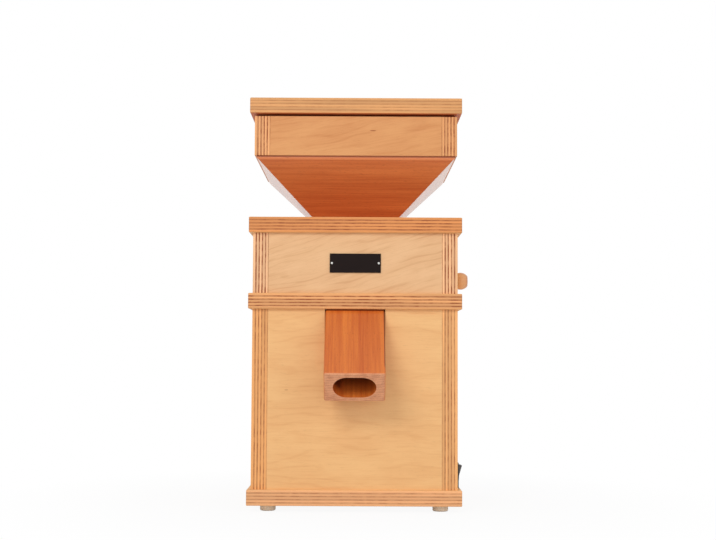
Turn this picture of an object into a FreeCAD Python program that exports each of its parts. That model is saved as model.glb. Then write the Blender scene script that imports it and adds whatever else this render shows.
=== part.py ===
import FreeCAD, Part
import math
import os
import Sketcher
from FreeCAD import Placement, Rotation, Vector

# Electric grain mill in a box of 15 mm boards, millimetres.
# Origin on the floor under the mill stones' spindle, +Z up, the spout points to -Y,
# the grind lever and the switch are on the +X side.

# Every driving size: its name, its value and what it measures.
SIZES = [
    ("board", "15", "thickness of all case boards"),
    ("case_step", "4", "case faces in from the edges of the square boards"),
    ("board_ease", "1", "rounding of the square boards' outer edges"),
    ("foot_high", "6", "height of a foot"),
    ("foot_wide", "15", "diameter of a foot"),
    ("foot_inset", "19.5", "foot centre from the edge of the base board"),
    ("foot_ease", "0.75", "bevel round a foot's underside"),
    ("edge_ease", "1", "small bevel on turned pieces"),
    ("cut_over", "3", "how far a cutting shape runs past the wood"),
    ("lower_high", "171", "height of the lower case box"),
    ("upper_high", "58", "height of the upper case box"),
    ("glue_fit", "0.02", "clearance of glued, pressed and screwed seats"),
    ("screw_fit", "0.1", "clearance round a screw in its hole"),
    ("run_fit", "0.05", "radial clearance of a turning or sliding fit"),
    ("funnel_foot", "75", "outer side of the funnel on the deck"),
    ("funnel_board", "10", "thickness of the funnel boards"),
    ("funnel_rim", "2", "plain upright edge at the funnel's top"),
    ("funnel_step", "2", "funnel's rim in from the outside of the hopper frame"),
    ("hopper_step", "4.5", "hopper frame in from the edges of the square boards"),
    ("hopper_high", "38", "height of the hopper frame"),
    ("lid_gap", "2.3", "open joint between hopper frame and lid"),
    ("rebate_wide", "6", "width of the rebate that carries the lid"),
    ("rebate_deep", "8", "depth of the rebate that carries the lid"),
    ("lid_fit", "0.5", "play of the lid's locating board in the rebate"),
    ("spout_wide", "56.5", "width of the spout block"),
    ("spout_thick", "37", "thickness of the spout block across its slope"),
    ("spout_drop", "27", "spout axis below the middle board at the front face"),
    ("spout_reach", "66", "front face to spout end along the slope"),
    ("spout_play", "0.6", "open joint round the spout block in the front panel"),
    ("spout_ease", "1.8", "rounding of the spout's outer edges"),
    ("channel_wide", "40", "width of the flour channel"),
    ("channel_high", "26", "height of the flour channel"),
    ("chute_wide", "30", "width of the chute in the middle board"),
    ("chute_long", "21", "front to back length of the chute in the middle board"),
    ("chute_inset", "8", "chute centre in from the chamber's bore at the board's top"),
    ("outlet_inset", "3.6", "flour outlet in from the chamber's bore"),
    ("shaft_hole", "9", "radius of the spindle's hole in board and chamber floor"),
    ("flange_wide", "14", "width of the chamber's flange outside its wall"),
    ("flange_gap", "7", "gap between the chamber's flange and the case walls"),
    ("floor_thick", "4", "thickness of the chamber's floor and flange"),
    ("chamber_wall", "6", "thickness of the chamber wall"),
    ("chamber_high", "34", "height of the chamber"),
    ("shoulder_wide", "3", "shoulder under the adjusting ring"),
    ("ring_level", "12", "underside of the adjusting ring above the middle board"),
    ("ring_fit", "0.1", "clearance of the adjusting ring on the chamber"),
    ("ring_wall", "7", "wall of the adjusting ring"),
    ("ring_high", "32", "height of the adjusting ring"),
    ("stone_radius", "45", "radius of both mill stones"),
    ("runner_level", "10", "underside of the runner stone above the middle board"),
    ("runner_thick", "12", "thickness of the runner stone"),
    ("stone_gap", "0.5", "gap between the stones at the middle setting"),
    ("upper_thick", "14", "thickness of the upper stone"),
    ("eye_radius", "17", "radius of the upper stone's eye"),
    ("runner_eye", "13", "radius of the runner stone's eye"),
    ("swallow_radius", "30", "where the stones' entry cones end"),
    ("swallow_deep", "2.5", "depth of an entry cone at the eye"),
    ("furrow_count", "12", "furrows in a stone"),
    ("furrow_wide", "3", "width of a furrow"),
    ("furrow_deep", "1.2", "depth of a furrow"),
    ("furrow_skew", "9", "offset of a furrow's line from the stone's centre"),
    ("carrier_thick", "7.5", "thickness of the upper stone's carrier"),
    ("carrier_eye", "20", "radius of the carrier's eye"),
    ("guide_radius", "1.5", "radius of a guide pin"),
    ("guide_count", "3", "guide pins that stop the carrier turning"),
    ("guide_deep", "12", "depth of a guide pin in the chamber wall"),
    ("guide_short", "1.9", "guide pin's end below the carrier's top"),
    ("plate_thick", "4.5", "thickness of the runner's plate"),
    ("plate_rim", "3", "runner's plate outside the stone"),
    ("paddle_past", "9", "flour paddles' tips outside the stone"),
    ("paddle_gap", "2", "gap between the paddles' tips and the chamber's bore"),
    ("paddle_high", "14", "height of the flour paddles"),
    ("paddle_thick", "4", "thickness of a flour paddle"),
    ("paddle_count", "3", "flour paddles on the runner's plate"),
    ("shaft_radius", "6", "radius of the spindle"),
    ("shaft_tip", "5", "radius of the spindle's ends"),
    ("nut_across", "19", "spindle nut, corner circle less its rounding"),
    ("nut_high", "7", "height of the spindle nut"),
    ("throat_side", "54", "side of the feed throat's block in the deck"),
    ("throat_mouth", "23.3", "radius of the feed throat at its top"),
    ("throat_bore", "15", "radius of the feed throat at its bottom"),
    ("throat_tube", "18", "outer radius of the feed throat's tube"),
    ("throat_drop", "18", "length of the tube below the deck"),
    ("cone_deep", "18", "depth of the throat's cone"),
    ("lever_level", "18", "lever axis above the middle board"),
    ("rod_thick", "6", "diameter of the lever rod"),
    ("knob_wide", "17.5", "diameter of the ball knob"),
    ("knob_flat", "7", "ball centre to the flat on the knob's end"),
    ("knob_out", "10.2", "ball centre outside the case's right face"),
    ("knob_socket", "9", "depth of the rod in the knob"),
    ("slot_long", "43", "length of the lever's slot"),
    ("slot_high", "8", "height of the lever's slot"),
    ("bolt_inset", "5.3", "chamber bolts in from the edge of the flange"),
    ("pillar_long", "25", "length of a motor pillar"),
    ("pillar_wide", "11", "diameter of a motor pillar"),
    ("bolt_radius", "2.5", "radius of a chamber bolt"),
    ("bolt_into", "12", "thread of a chamber bolt in its pillar"),
    ("bolt_head", "4.25", "radius of a chamber bolt's head"),
    ("bolt_head_high", "5", "height of a chamber bolt's head"),
    ("bolt_key", "2", "radius of the key hole in a chamber bolt's head"),
    ("mount_rim", "6", "bolt centre to the edge of the motor's mounting plate"),
    ("mount_thick", "6", "thickness of the motor's mounting plate"),
    ("shield_wall", "6", "floor thickness of the lower end shield"),
    ("core_radius", "50", "radius of the stator core"),
    ("core_high", "55", "height of the stator core"),
    ("core_bore", "27.3", "radius of the stator's bore"),
    ("core_seat", "3", "ledge of the end shields on the stator core"),
    ("air_gap", "0.3", "gap between rotor and stator"),
    ("cup_high", "21", "inner depth of each end shield"),
    ("winding_high", "10", "height of the winding heads"),
    ("winding_back", "2.7", "winding heads back from the stator's bore"),
    ("winding_gap", "1", "gap between the winding heads and the end shields"),
    ("bearing_radius", "16", "outer radius of the ball bearings"),
    ("bearing_high", "10", "height of the ball bearings"),
    ("boss_wall", "4", "wall of a bearing boss"),
    ("tie_gap", "2", "gap between a tie bolt and the stator core"),
    ("tie_radius", "2", "radius of a tie bolt"),
    ("tie_wall", "2", "tie bolt to the outside of the end shields"),
    ("tie_head", "3.5", "radius of a tie bolt's head"),
    ("tie_head_high", "3", "height of a tie bolt's head"),
    ("fan_radius", "45", "radius of the cooling fan"),
    ("fan_high", "14", "height of the cooling fan"),
    ("fan_gap", "4", "gap between motor and fan"),
    ("fan_hub", "12", "radius of the fan's hub"),
    ("fan_eye", "18", "radius where the fan's blades begin"),
    ("fan_disc", "2", "thickness of the fan's disc and blades"),
    ("fan_blades", "9", "blades of the fan"),
    ("capacitor_radius", "17.5", "radius of the run capacitor"),
    ("capacitor_high", "68", "height of the run capacitor's can"),
    ("capacitor_gap", "4.5", "gap between the run capacitor and the case walls"),
    ("capacitor_ease", "2", "rounding of the capacitor's can and depth of its lid"),
    ("stud_radius", "4.4", "radius of the capacitor's connection stud"),
    ("clip_thick", "1.5", "thickness of the capacitor clip"),
    ("clip_high", "12", "height of the capacitor clip"),
    ("clip_level", "24", "capacitor clip above the base board"),
    ("clip_lug", "17.5", "width of the capacitor clip's lug"),
    ("terminal_inset", "25", "terminal block's middle from the right and rear walls"),
    ("terminal_deep", "17.3", "depth of the terminal block"),
    ("terminal_high", "13.4", "height of the terminal block"),
    ("pole_pitch", "9.6", "spacing of the terminal block's ways"),
    ("way_radius", "2.4", "radius of a wire way in the terminal block"),
    ("well_radius", "3", "radius of a screw well in the terminal block"),
    ("gland_inset", "38", "cord gland from the right face of the case"),
    ("gland_level", "33", "cord gland above the base board"),
    ("gland_thread", "6", "radius of the gland's thread"),
    ("gland_bore", "3.6", "radius of the gland's bore"),
    ("gland_flange", "9.5", "radius of the gland's flange"),
    ("flange_thick", "4", "thickness of the gland's flange"),
    ("gland_cap", "7.5", "radius of the gland's cap"),
    ("gland_out", "16", "gland outside the rear face"),
    ("gland_in", "7", "gland inside the rear panel"),
    ("gland_nut_high", "5", "thickness of the gland's nut"),
    ("gland_corner", "9.3", "corner radius of the gland's nut"),
    ("switch_back", "26", "switch middle behind the front face"),
    ("switch_level", "12.5", "switch middle above the base board"),
    ("bezel_high", "23.5", "height of the switch bezel"),
    ("bezel_wide", "16", "width of the switch bezel"),
    ("bezel_proud", "2.3", "switch bezel outside the case"),
    ("switch_deep", "17", "switch body inside the bezel"),
    ("switch_wall", "1", "side wall of the switch body"),
    ("rocker_fit", "0.25", "clearance round the rocker in its window"),
    ("rocker_wide", "10.6", "width of the rocker"),
    ("rocker_radius", "10.2", "sweep of the rocker's ends about its pivot"),
    ("rocker_pivot", "1.3", "rocker pivot outside the case"),
    ("rocker_crest", "2.7", "rocker corner in front of its pivot"),
    ("rocker_valley", "1.6", "rocker middle in front of its pivot"),
    ("rocker_tail", "5.1", "back of the rocker behind its pivot"),
    ("rocker_tilt", "10", "half of the rocker's travel in degrees"),
    ("pivot_radius", "1", "radius of the rocker's pivot"),
    ("label_wide", "48.8", "width of the blank plate"),
    ("label_high", "18.3", "height of the blank plate"),
    ("label_thick", "1", "thickness of the blank plate"),
    ("label_level", "29", "plate middle above the middle board"),
    ("label_pins", "44.8", "spacing of the plate's pins"),
    ("pin_radius", "0.7", "radius of a plate pin, and height of its head"),
    ("pin_head", "1.1", "radius of a plate pin's head"),
    ("pin_long", "7.5", "length of a plate pin under the plate's face"),
    ("screw_radius", "2", "radius of a base screw"),
    ("screw_head", "4", "radius of a base screw's head"),
    ("screw_long", "40", "length of a base screw"),
    ("screw_row", "55", "base screws to each side of the middle"),
    ("vent_count", "6", "ventilation slots in a row"),
    ("vent_long", "70", "length of a ventilation slot"),
    ("vent_wide", "3.6", "width of a ventilation slot"),
    ("vent_pitch", "10", "spacing of the ventilation slots"),
    ("vent_level", "45", "lowest rear slot above the base board"),
]


class Size:
    """A length: its value now, and the rule over the sheet's cells that gives it."""

    def __init__(self, value, rule):
        self.value = value
        self.rule = rule

    def __add__(self, other):
        return joined(self, "+", other, self.value + number(other))

    def __radd__(self, other):
        return joined(other, "+", self, number(other) + self.value)

    def __sub__(self, other):
        return joined(self, "-", other, self.value - number(other))

    def __rsub__(self, other):
        return joined(other, "-", self, number(other) - self.value)

    def __mul__(self, other):
        return joined(self, "*", other, self.value * number(other))

    def __rmul__(self, other):
        return joined(other, "*", self, number(other) * self.value)

    def __truediv__(self, other):
        return joined(self, "/", other, self.value / number(other))

    def __neg__(self):
        return joined(0, "-", self, -self.value)


def number(length):
    """The value now of a size or of a plain number."""
    return length.value if isinstance(length, Size) else float(length)


def rule(length):
    """The rule of a size or of a plain number, as text."""
    return length.rule if isinstance(length, Size) else repr(float(length))


def joined(left, sign, right, value):
    return Size(value, "(%s %s %s)" % (rule(left), sign, rule(right)))


def read_sizes():
    """Fill the sheet and give back each named cell as a size."""
    sheet = doc.addObject("Spreadsheet::Sheet", "Sizes")
    cells = {}
    for row, (name, text, meaning) in enumerate(SIZES, 1):
        sheet.set("A%d" % row, name)
        sheet.set("B%d" % row, text)
        sheet.set("C%d" % row, meaning)
        sheet.setAlias("B%d" % row, name)
        cells[name] = Size(float(text), "Sizes." + name)
    doc.recompute()
    return cells


doc = FreeCAD.newDocument("grain_mill")
S = read_sizes()
ROOT_TWO = math.sqrt(2)

# Radii of the grinding gear, from the stones outward.
plate_radius = S["stone_radius"] + S["plate_rim"]
paddle_reach = S["stone_radius"] + S["paddle_past"]
chamber_bore = paddle_reach + S["paddle_gap"]
chamber_radius = chamber_bore + S["chamber_wall"]
guide_circle = chamber_radius - S["chamber_wall"] / 2
ring_bore = chamber_radius + S["ring_fit"]
ring_radius = ring_bore + S["ring_wall"]
flange_radius = chamber_radius + S["flange_wide"]
bolt_half = (flange_radius - S["bolt_inset"]) / ROOT_TWO
chute_back = chamber_bore - S["chute_inset"]
rod_radius = S["rod_thick"] / 2

# Half widths in plan: the case closes round the chamber's flange.
inner_half = flange_radius + S["flange_gap"]
case_half = inner_half + S["board"]
plate_half = case_half + S["case_step"]
hopper_half = plate_half - S["hopper_step"]
hopper_inner = hopper_half - S["board"]
rebate_half = hopper_inner + S["rebate_wide"]
rim_half = hopper_half - S["funnel_step"]

# The stator core sets the motor's radii: tie bolts, end shields and winding heads.
tie_circle = S["core_radius"] + S["tie_gap"] + S["tie_radius"]
shield_radius = tie_circle + S["tie_radius"] + S["tie_wall"]
shield_bore = S["core_radius"] - S["core_seat"]
winding_out = shield_bore - S["winding_gap"]
winding_in = S["core_bore"] + S["winding_back"]
boss_radius = S["bearing_radius"] + S["boss_wall"]

# Levels, from the floor up. The funnel slopes at 45 degrees.
funnel_high = rim_half - S["funnel_foot"] / 2 + S["funnel_rim"]
base_bottom = S["foot_high"]
base_top = base_bottom + S["board"]
middle_bottom = base_top + S["lower_high"]
middle_top = middle_bottom + S["board"]
deck_bottom = middle_top + S["upper_high"]
deck_top = deck_bottom + S["board"]
frame_bottom = deck_top + funnel_high
frame_top = frame_bottom + S["hopper_high"]
lid_bottom = frame_top + S["lid_gap"]

# Levels of the grinding gear.
chamber_top = middle_top + S["chamber_high"]
floor_top = middle_top + S["floor_thick"]
ring_bottom = middle_top + S["ring_level"]
ring_top = ring_bottom + S["ring_high"]
runner_bottom = middle_top + S["runner_level"]
runner_top = runner_bottom + S["runner_thick"]
upper_bottom = runner_top + S["stone_gap"]
upper_top = upper_bottom + S["upper_thick"]
carrier_top = upper_top + S["carrier_thick"]
lever_axis = middle_top + S["lever_level"]

# Levels of the motor, which hangs from the middle board.
mount_top = middle_bottom - S["pillar_long"]
mount_bottom = mount_top - S["mount_thick"]
core_top = mount_bottom - S["cup_high"]
core_bottom = core_top - S["core_high"]
shield_floor = core_bottom - S["cup_high"]
motor_bottom = shield_floor - S["shield_wall"]
fan_top = motor_bottom - S["fan_gap"]
fan_bottom = fan_top - S["fan_high"]


def origin_part(body, role):
    """A plane or axis of the body's own origin."""
    return next(item for item in body.Origin.OriginFeatures if item.Role == role)


def bind(item, prop, length):
    """Set a property to a size, and tie it to the sheet."""
    item.setExpression(prop, rule(length))


def new_body(label, x=0, y=0, z=0):
    body = doc.addObject("PartDesign::Body", label)
    body.Label = label
    for axis, length in (("x", x), ("y", y), ("z", z)):
        bind(body, "Placement.Base." + axis, length)
    return body


def new_sketch(body, role, level=0):
    """A sketch on one of the body's origin planes, moved along that plane's normal."""
    sketch = body.newObject("Sketcher::SketchObject", body.Name + "_sketch")
    sketch.AttachmentSupport = (origin_part(body, role), [""])
    sketch.MapMode = "FlatFace"
    bind(sketch, "AttachmentOffset.Base.z", level)
    return sketch


def pin_down(sketch, edge, end, x, y):
    """Tie a sketch point to the sheet by its distances from the sketch's origin."""
    for kind, length, own_axis in (("DistanceX", x, -2), ("DistanceY", y, -1)):
        if not isinstance(length, Size) and length == 0:
            sketch.addConstraint(Sketcher.Constraint("PointOnObject", edge, end, own_axis))
            continue
        index = sketch.addConstraint(
            Sketcher.Constraint(kind, -1, 1, edge, end, number(length)))
        sketch.setExpression("Constraints[%d]" % index, rule(length))


def outline(sketch, corners):
    """A closed outline of straight lines."""
    first = sketch.GeometryCount
    count = len(corners)
    points = [Vector(number(x), number(y), 0) for x, y in corners]
    for i in range(count):
        sketch.addGeometry(Part.LineSegment(points[i], points[(i + 1) % count]))
    for i in range(count):
        following = first + (i + 1) % count
        sketch.addConstraint(Sketcher.Constraint("Coincident", first + i, 2, following, 1))
    for i, (x, y) in enumerate(corners):
        pin_down(sketch, first + i, 1, x, y)
    return sketch


def rectangle(sketch, left, low, right, high):
    return outline(sketch, [(left, low), (right, low), (right, high), (left, high)])


def square(sketch, half):
    return rectangle(sketch, -half, -half, half, half)


def tie_radius(sketch, edge, radius):
    index = sketch.addConstraint(Sketcher.Constraint("Radius", edge, number(radius)))
    sketch.setExpression("Constraints[%d]" % index, rule(radius))


def circle(sketch, x, y, radius):
    centre = Vector(number(x), number(y), 0)
    edge = sketch.addGeometry(Part.Circle(centre, Vector(0, 0, 1), number(radius)))
    tie_radius(sketch, edge, radius)
    pin_down(sketch, edge, 3, x, y)
    return sketch


def stadium(sketch, x, y, length, width):
    """A slot with round ends, lying along the sketch's X axis."""
    first = sketch.GeometryCount
    radius = width / 2
    reach = (length - width) / 2
    left = Vector(number(x - reach), number(y), 0)
    right = Vector(number(x + reach), number(y), 0)
    up = Vector(0, number(radius), 0)
    normal = Vector(0, 0, 1)
    quarter = math.pi / 2
    right_end = Part.Circle(right, normal, number(radius))
    left_end = Part.Circle(left, normal, number(radius))
    sketch.addGeometry(Part.LineSegment(left + up, right + up))
    sketch.addGeometry(Part.ArcOfCircle(right_end, -quarter, quarter))
    sketch.addGeometry(Part.LineSegment(right - up, left - up))
    sketch.addGeometry(Part.ArcOfCircle(left_end, quarter, 3 * quarter))
    meets = [(0, 2, 1, 2), (1, 1, 2, 1), (2, 2, 3, 2), (3, 1, 0, 1)]
    for edge, end, other, other_end in meets:
        sketch.addConstraint(Sketcher.Constraint(
            "Tangent", first + edge, end, first + other, other_end))
    tie_radius(sketch, first + 1, radius)
    pin_down(sketch, first + 1, 3, x + reach, y)
    pin_down(sketch, first + 3, 3, x - reach, y)
    return sketch


def pad(body, sketch, length, back=False, both=False):
    feature = body.newObject("PartDesign::Pad", body.Name + "_pad")
    feature.Profile = sketch
    bind(feature, "Length", length)
    feature.Reversed = back
    feature.Midplane = both
    doc.recompute()
    return feature


def revolve(body, sketch, axis="V_Axis"):
    feature = body.newObject("PartDesign::Revolution", body.Name + "_turned")
    feature.Profile = sketch
    feature.ReferenceAxis = (sketch, [axis])
    feature.Angle = 360
    doc.recompute()
    return feature


def cut(body, sketch, depth=None, back=False, both=False):
    """A pocket; without a depth it goes right through, to both sides unless back is set."""
    before = body.Shape.Volume
    feature = body.newObject("PartDesign::Pocket", body.Name + "_cut")
    feature.Profile = sketch
    if depth is None:
        feature.Type = "ThroughAll"
        both = both or not back
    else:
        bind(feature, "Length", depth)
    feature.Reversed = back
    feature.Midplane = both
    doc.recompute()
    confirm_cut(body, before)
    return feature


def groove(body, sketch, axis="V_Axis"):
    before = body.Shape.Volume
    feature = body.newObject("PartDesign::Groove", body.Name + "_groove")
    feature.Profile = sketch
    feature.ReferenceAxis = (sketch, [axis])
    feature.Angle = 360
    doc.recompute()
    confirm_cut(body, before)
    return feature


def ease_edges(body, radius, wanted=None):
    """Round the body's edges, all of them or those that a test picks out."""
    solid = body.Tip
    names = ["Edge%d" % index for index, edge in enumerate(solid.Shape.Edges, 1)
             if wanted is None or wanted(edge)]
    feature = body.newObject("PartDesign::Fillet", body.Name + "_ease")
    feature.Base = (solid, names)
    bind(feature, "Radius", radius)
    doc.recompute()
    return feature


def confirm_cut(body, before):
    if not body.Shape.Volume < before:
        raise ValueError("a cut in %s removes nothing" % body.Label)


def round_pattern(body, feature, count):
    """Repeat a feature round the body's Z axis."""
    pattern = body.newObject("PartDesign::PolarPattern", body.Name + "_pattern")
    pattern.Originals = [feature]
    pattern.Axis = (origin_part(body, "Z_Axis"), [""])
    pattern.Angle = 360
    bind(pattern, "Occurrences", count)
    body.Tip = pattern
    doc.recompute()
    return pattern


def turned(label, corners, x=0, y=0, z=0):
    """A body turned about its Z axis from a half section of radii and levels."""
    body = new_body(label, x, y, z)
    revolve(body, outline(new_sketch(body, "XZ_Plane"), corners))
    return body


def place_copies(label, master, places):
    """One node that holds the same piece at several places."""
    copies = []
    for x, y, z in places:
        shape = master.Shape.copy()
        shape.translate(Vector(number(x), number(y), number(z)))
        copies.append(shape)
    group = doc.addObject("Part::Feature", label)
    group.Label = label
    group.Shape = Part.makeCompound(copies)
    return group


def four_corners(half, level=0):
    return [(x, y, level) for x in (-half, half) for y in (-half, half)]


def rod(label, radius, length, x, y, z, along):
    """A plain cylinder that starts at a point and runs along a direction."""
    item = doc.addObject("Part::Cylinder", label)
    item.Placement = Placement(Vector(), Rotation(Vector(0, 0, 1), along))
    bind(item, "Radius", radius)
    bind(item, "Height", length)
    for axis, distance in (("x", x), ("y", y), ("z", z)):
        bind(item, "Placement.Base." + axis, distance)
    return item


# Base and case.

def side_line():
    """Distance of the screws in the side, front and rear panels from the middle."""
    return case_half - S["board"] / 2


def base_screw_places():
    line = side_line()
    row = S["screw_row"]
    places = []
    for across in (-line, line):
        for along in (-row, row):
            places.append((across, along))
            places.append((along, across))
    return places


def square_board(label, level):
    """One of the four square boards, with its outer edges eased."""
    body = new_body(label, z=level)
    pad(body, square(new_sketch(body, "XY_Plane"), plate_half), S["board"])
    ease_edges(body, S["board_ease"])
    return body


def make_base_board():
    """The base board: countersunk screws along its edges and air slots under the fan."""
    body = square_board("base_board", base_bottom)
    holes = new_sketch(body, "XY_Plane")
    for x, y in base_screw_places():
        circle(holes, x, y, S["screw_radius"] + S["screw_fit"])
    cut(body, holes)
    head = S["screw_head"] + 2 * S["screw_fit"]
    sink_deep = head - S["screw_radius"] - S["screw_fit"]
    for x, y in base_screw_places():
        add_countersink(body, x, y, head, sink_deep)
    slots = new_sketch(body, "XY_Plane")
    first = -(S["vent_count"] - 1) / 2 * S["vent_pitch"]
    for i in range(int(number(S["vent_count"]))):
        stadium(slots, Size(0, "0"), first + i * S["vent_pitch"], S["vent_long"], S["vent_wide"])
    cut(body, slots)
    return [body]


def add_countersink(body, x, y, head, deep):
    """A subtractive cone, open at the board's underside."""
    before = body.Shape.Volume
    cone = body.newObject("PartDesign::SubtractiveCone", body.Name + "_sink")
    bind(cone, "Radius1", head)
    bind(cone, "Radius2", head - deep)
    bind(cone, "Height", deep)
    cone.AttachmentSupport = (origin_part(body, "XY_Plane"), [""])
    cone.MapMode = "FlatFace"
    bind(cone, "AttachmentOffset.Base.x", x)
    bind(cone, "AttachmentOffset.Base.y", y)
    doc.recompute()
    confirm_cut(body, before)


def make_base_screws():
    """Eight countersunk wood screws up into the panels."""
    radius = S["screw_radius"]
    head = S["screw_head"]
    master = turned("base_screw_pattern", [
        (0, 0), (head, 0), (radius, head - radius), (radius, S["screw_long"]),
        (0, S["screw_long"])])
    level = base_bottom + S["screw_fit"]
    return [place_copies("base_screws", master, [(x, y, level) for x, y in base_screw_places()])]


def make_feet():
    """Four turned feet with a small round over at the floor."""
    radius = S["foot_wide"] / 2
    ease = S["foot_ease"]
    master = turned("foot_pattern", [
        (0, 0), (radius - ease, 0), (radius, ease), (radius, S["foot_high"]), (0, S["foot_high"])])
    return [place_copies("feet", master, four_corners(plate_half - S["foot_inset"]))]


def pilot_holes(body, places):
    """Holes for the base screws in a panel's lower edge."""
    holes = new_sketch(body, "XY_Plane")
    for x, y in places:
        circle(holes, x, y, S["screw_radius"] + S["screw_fit"])
    cut(body, holes, S["screw_long"] - S["board"] + S["screw_fit"] * 2, back=True)


def make_side(label, sign, bottom, height):
    """A side panel, which runs the full depth so that its edges show in front."""
    body = new_body(label, z=bottom)
    inner = inner_half * sign
    outer = case_half * sign
    pad(body, rectangle(new_sketch(body, "XY_Plane"), inner, -case_half, outer, case_half), height)
    return body


def make_cross(label, sign, bottom, height):
    """A front or rear panel, set between the side panels."""
    body = new_body(label, z=bottom)
    inner = inner_half * sign
    outer = case_half * sign
    pad(body, rectangle(new_sketch(body, "XY_Plane"), -inner_half, inner, inner_half, outer), height)
    return body


def make_lower_sides():
    pieces = []
    for label, sign in (("lower_side_left", -1), ("lower_side_right", 1)):
        body = make_side(label, sign, base_top, S["lower_high"])
        pilot_holes(body, [(side_line() * sign, -S["screw_row"]), (side_line() * sign, S["screw_row"])])
        pieces.append(body)
    opening = new_sketch(pieces[1], "YZ_Plane")
    half_wide = switch_half() + S["screw_fit"]
    half_high = cavity_half() + S["switch_wall"] / 2 + S["screw_fit"]
    rectangle(opening, switch_y() - half_wide, S["switch_level"] - half_high,
              switch_y() + half_wide, S["switch_level"] + half_high)
    cut(pieces[1], opening, back=True)
    return pieces


def make_lower_front():
    """The lower front panel, with a sloping notch for the spout block."""
    body = make_cross("lower_front", -1, base_top, S["lower_high"])
    pilot_holes(body, [(-S["screw_row"], -side_line()), (S["screw_row"], -side_line())])
    axis_level = S["lower_high"] - S["spout_drop"]
    under = (S["spout_thick"] / 2 + S["spout_play"]) * ROOT_TWO
    past = S["spout_play"]
    front = -case_half - past
    rear = -inner_half + past
    notch = outline(new_sketch(body, "YZ_Plane"), [
        (front, axis_level - under - past),
        (rear, axis_level - under + S["board"] + past),
        (rear, S["lower_high"] + past),
        (front, S["lower_high"] + past)])
    cut(body, notch, S["spout_wide"] + 2 * S["spout_play"], both=True)
    return [body]


def make_lower_back():
    """The lower rear panel: warm air slots and the hole for the cord gland."""
    body = make_cross("lower_back", 1, base_top, S["lower_high"])
    pilot_holes(body, [(-S["screw_row"], side_line()), (S["screw_row"], side_line())])
    slots = new_sketch(body, "XZ_Plane")
    for i in range(int(number(S["vent_count"]))):
        stadium(slots, Size(0, "0"), S["vent_level"] + i * S["vent_pitch"],
                S["vent_long"], S["vent_wide"])
    cut(body, slots)
    hole = circle(new_sketch(body, "XZ_Plane"), gland_side(), S["gland_level"],
                  S["gland_thread"] + S["screw_fit"])
    cut(body, hole)
    return [body]


def make_middle_board():
    """The board that carries the motor below and the grinding chamber above."""
    body = square_board("middle_board", middle_bottom)
    cut(body, circle(new_sketch(body, "XY_Plane"), 0, 0, S["shaft_hole"]))
    holes = new_sketch(body, "XY_Plane")
    for x, y, _ in four_corners(bolt_half):
        circle(holes, x, y, S["bolt_radius"] + S["screw_fit"])
    cut(body, holes)
    half = S["chute_long"] / 2
    top = -chute_back
    over = S["cut_over"]
    chute = outline(new_sketch(body, "YZ_Plane"), [
        (top - half + over, S["board"] + over), (top + half + over, S["board"] + over),
        (top + half - S["board"] - over, -over), (top - half - S["board"] - over, -over)])
    cut(body, chute, S["chute_wide"], both=True)
    return [body]


def make_upper_case():
    left = make_side("upper_side_left", -1, middle_top, S["upper_high"])
    right = make_side("upper_side_right", 1, middle_top, S["upper_high"])
    slot = stadium(new_sketch(right, "YZ_Plane"), Size(0, "0"), S["lever_level"],
                   S["slot_long"], S["slot_high"])
    cut(right, slot, back=True)
    front = make_cross("upper_front", -1, middle_top, S["upper_high"])
    holes = new_sketch(front, "XZ_Plane", inner_half)
    for x in label_pin_places():
        circle(holes, x, S["label_level"], S["pin_radius"] + S["glue_fit"])
    cut(front, holes, S["board"], back=True)
    back = make_cross("upper_back", 1, middle_top, S["upper_high"])
    return [left, right, front, back]


def make_deck_board():
    """The board that closes the case; the feed throat sits in its square hole."""
    body = square_board("deck_board", deck_bottom)
    cut(body, square(new_sketch(body, "XY_Plane"), S["throat_side"] / 2 + S["glue_fit"]))
    return [body]


# Blank plate on the upper front.

def label_pin_places():
    return [-S["label_pins"] / 2, S["label_pins"] / 2]


def make_nameplate():
    """A plain plate with no marking, held by two small pins."""
    body = new_body("nameplate", y=-case_half, z=middle_top + S["label_level"])
    half_wide = S["label_wide"] / 2
    half_high = S["label_high"] / 2
    sketch = rectangle(new_sketch(body, "XZ_Plane"), -half_wide, -half_high, half_wide, half_high)
    pad(body, sketch, S["label_thick"])
    holes = new_sketch(body, "XZ_Plane")
    for x in label_pin_places():
        circle(holes, x, 0, S["pin_radius"] + S["glue_fit"])
    cut(body, holes)
    return [body]


def make_nameplate_pins():
    """Two drive pins with low round heads."""
    radius = S["pin_radius"]
    head = S["pin_head"]
    level = middle_top + S["label_level"]
    face = -case_half - S["label_thick"]
    body = new_body("nameplate_pin_pattern")
    section = outline(new_sketch(body, "YZ_Plane"), [
        (S["pin_long"], 0), (S["pin_long"], radius), (0, radius), (0, head),
        (-radius / 2, head), (-radius, head / 2), (-radius, 0)])
    revolve(body, section, "H_Axis")
    places = [(x, face, level) for x in label_pin_places()]
    return [place_copies("nameplate_pins", body, places)]


# Spout.

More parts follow.
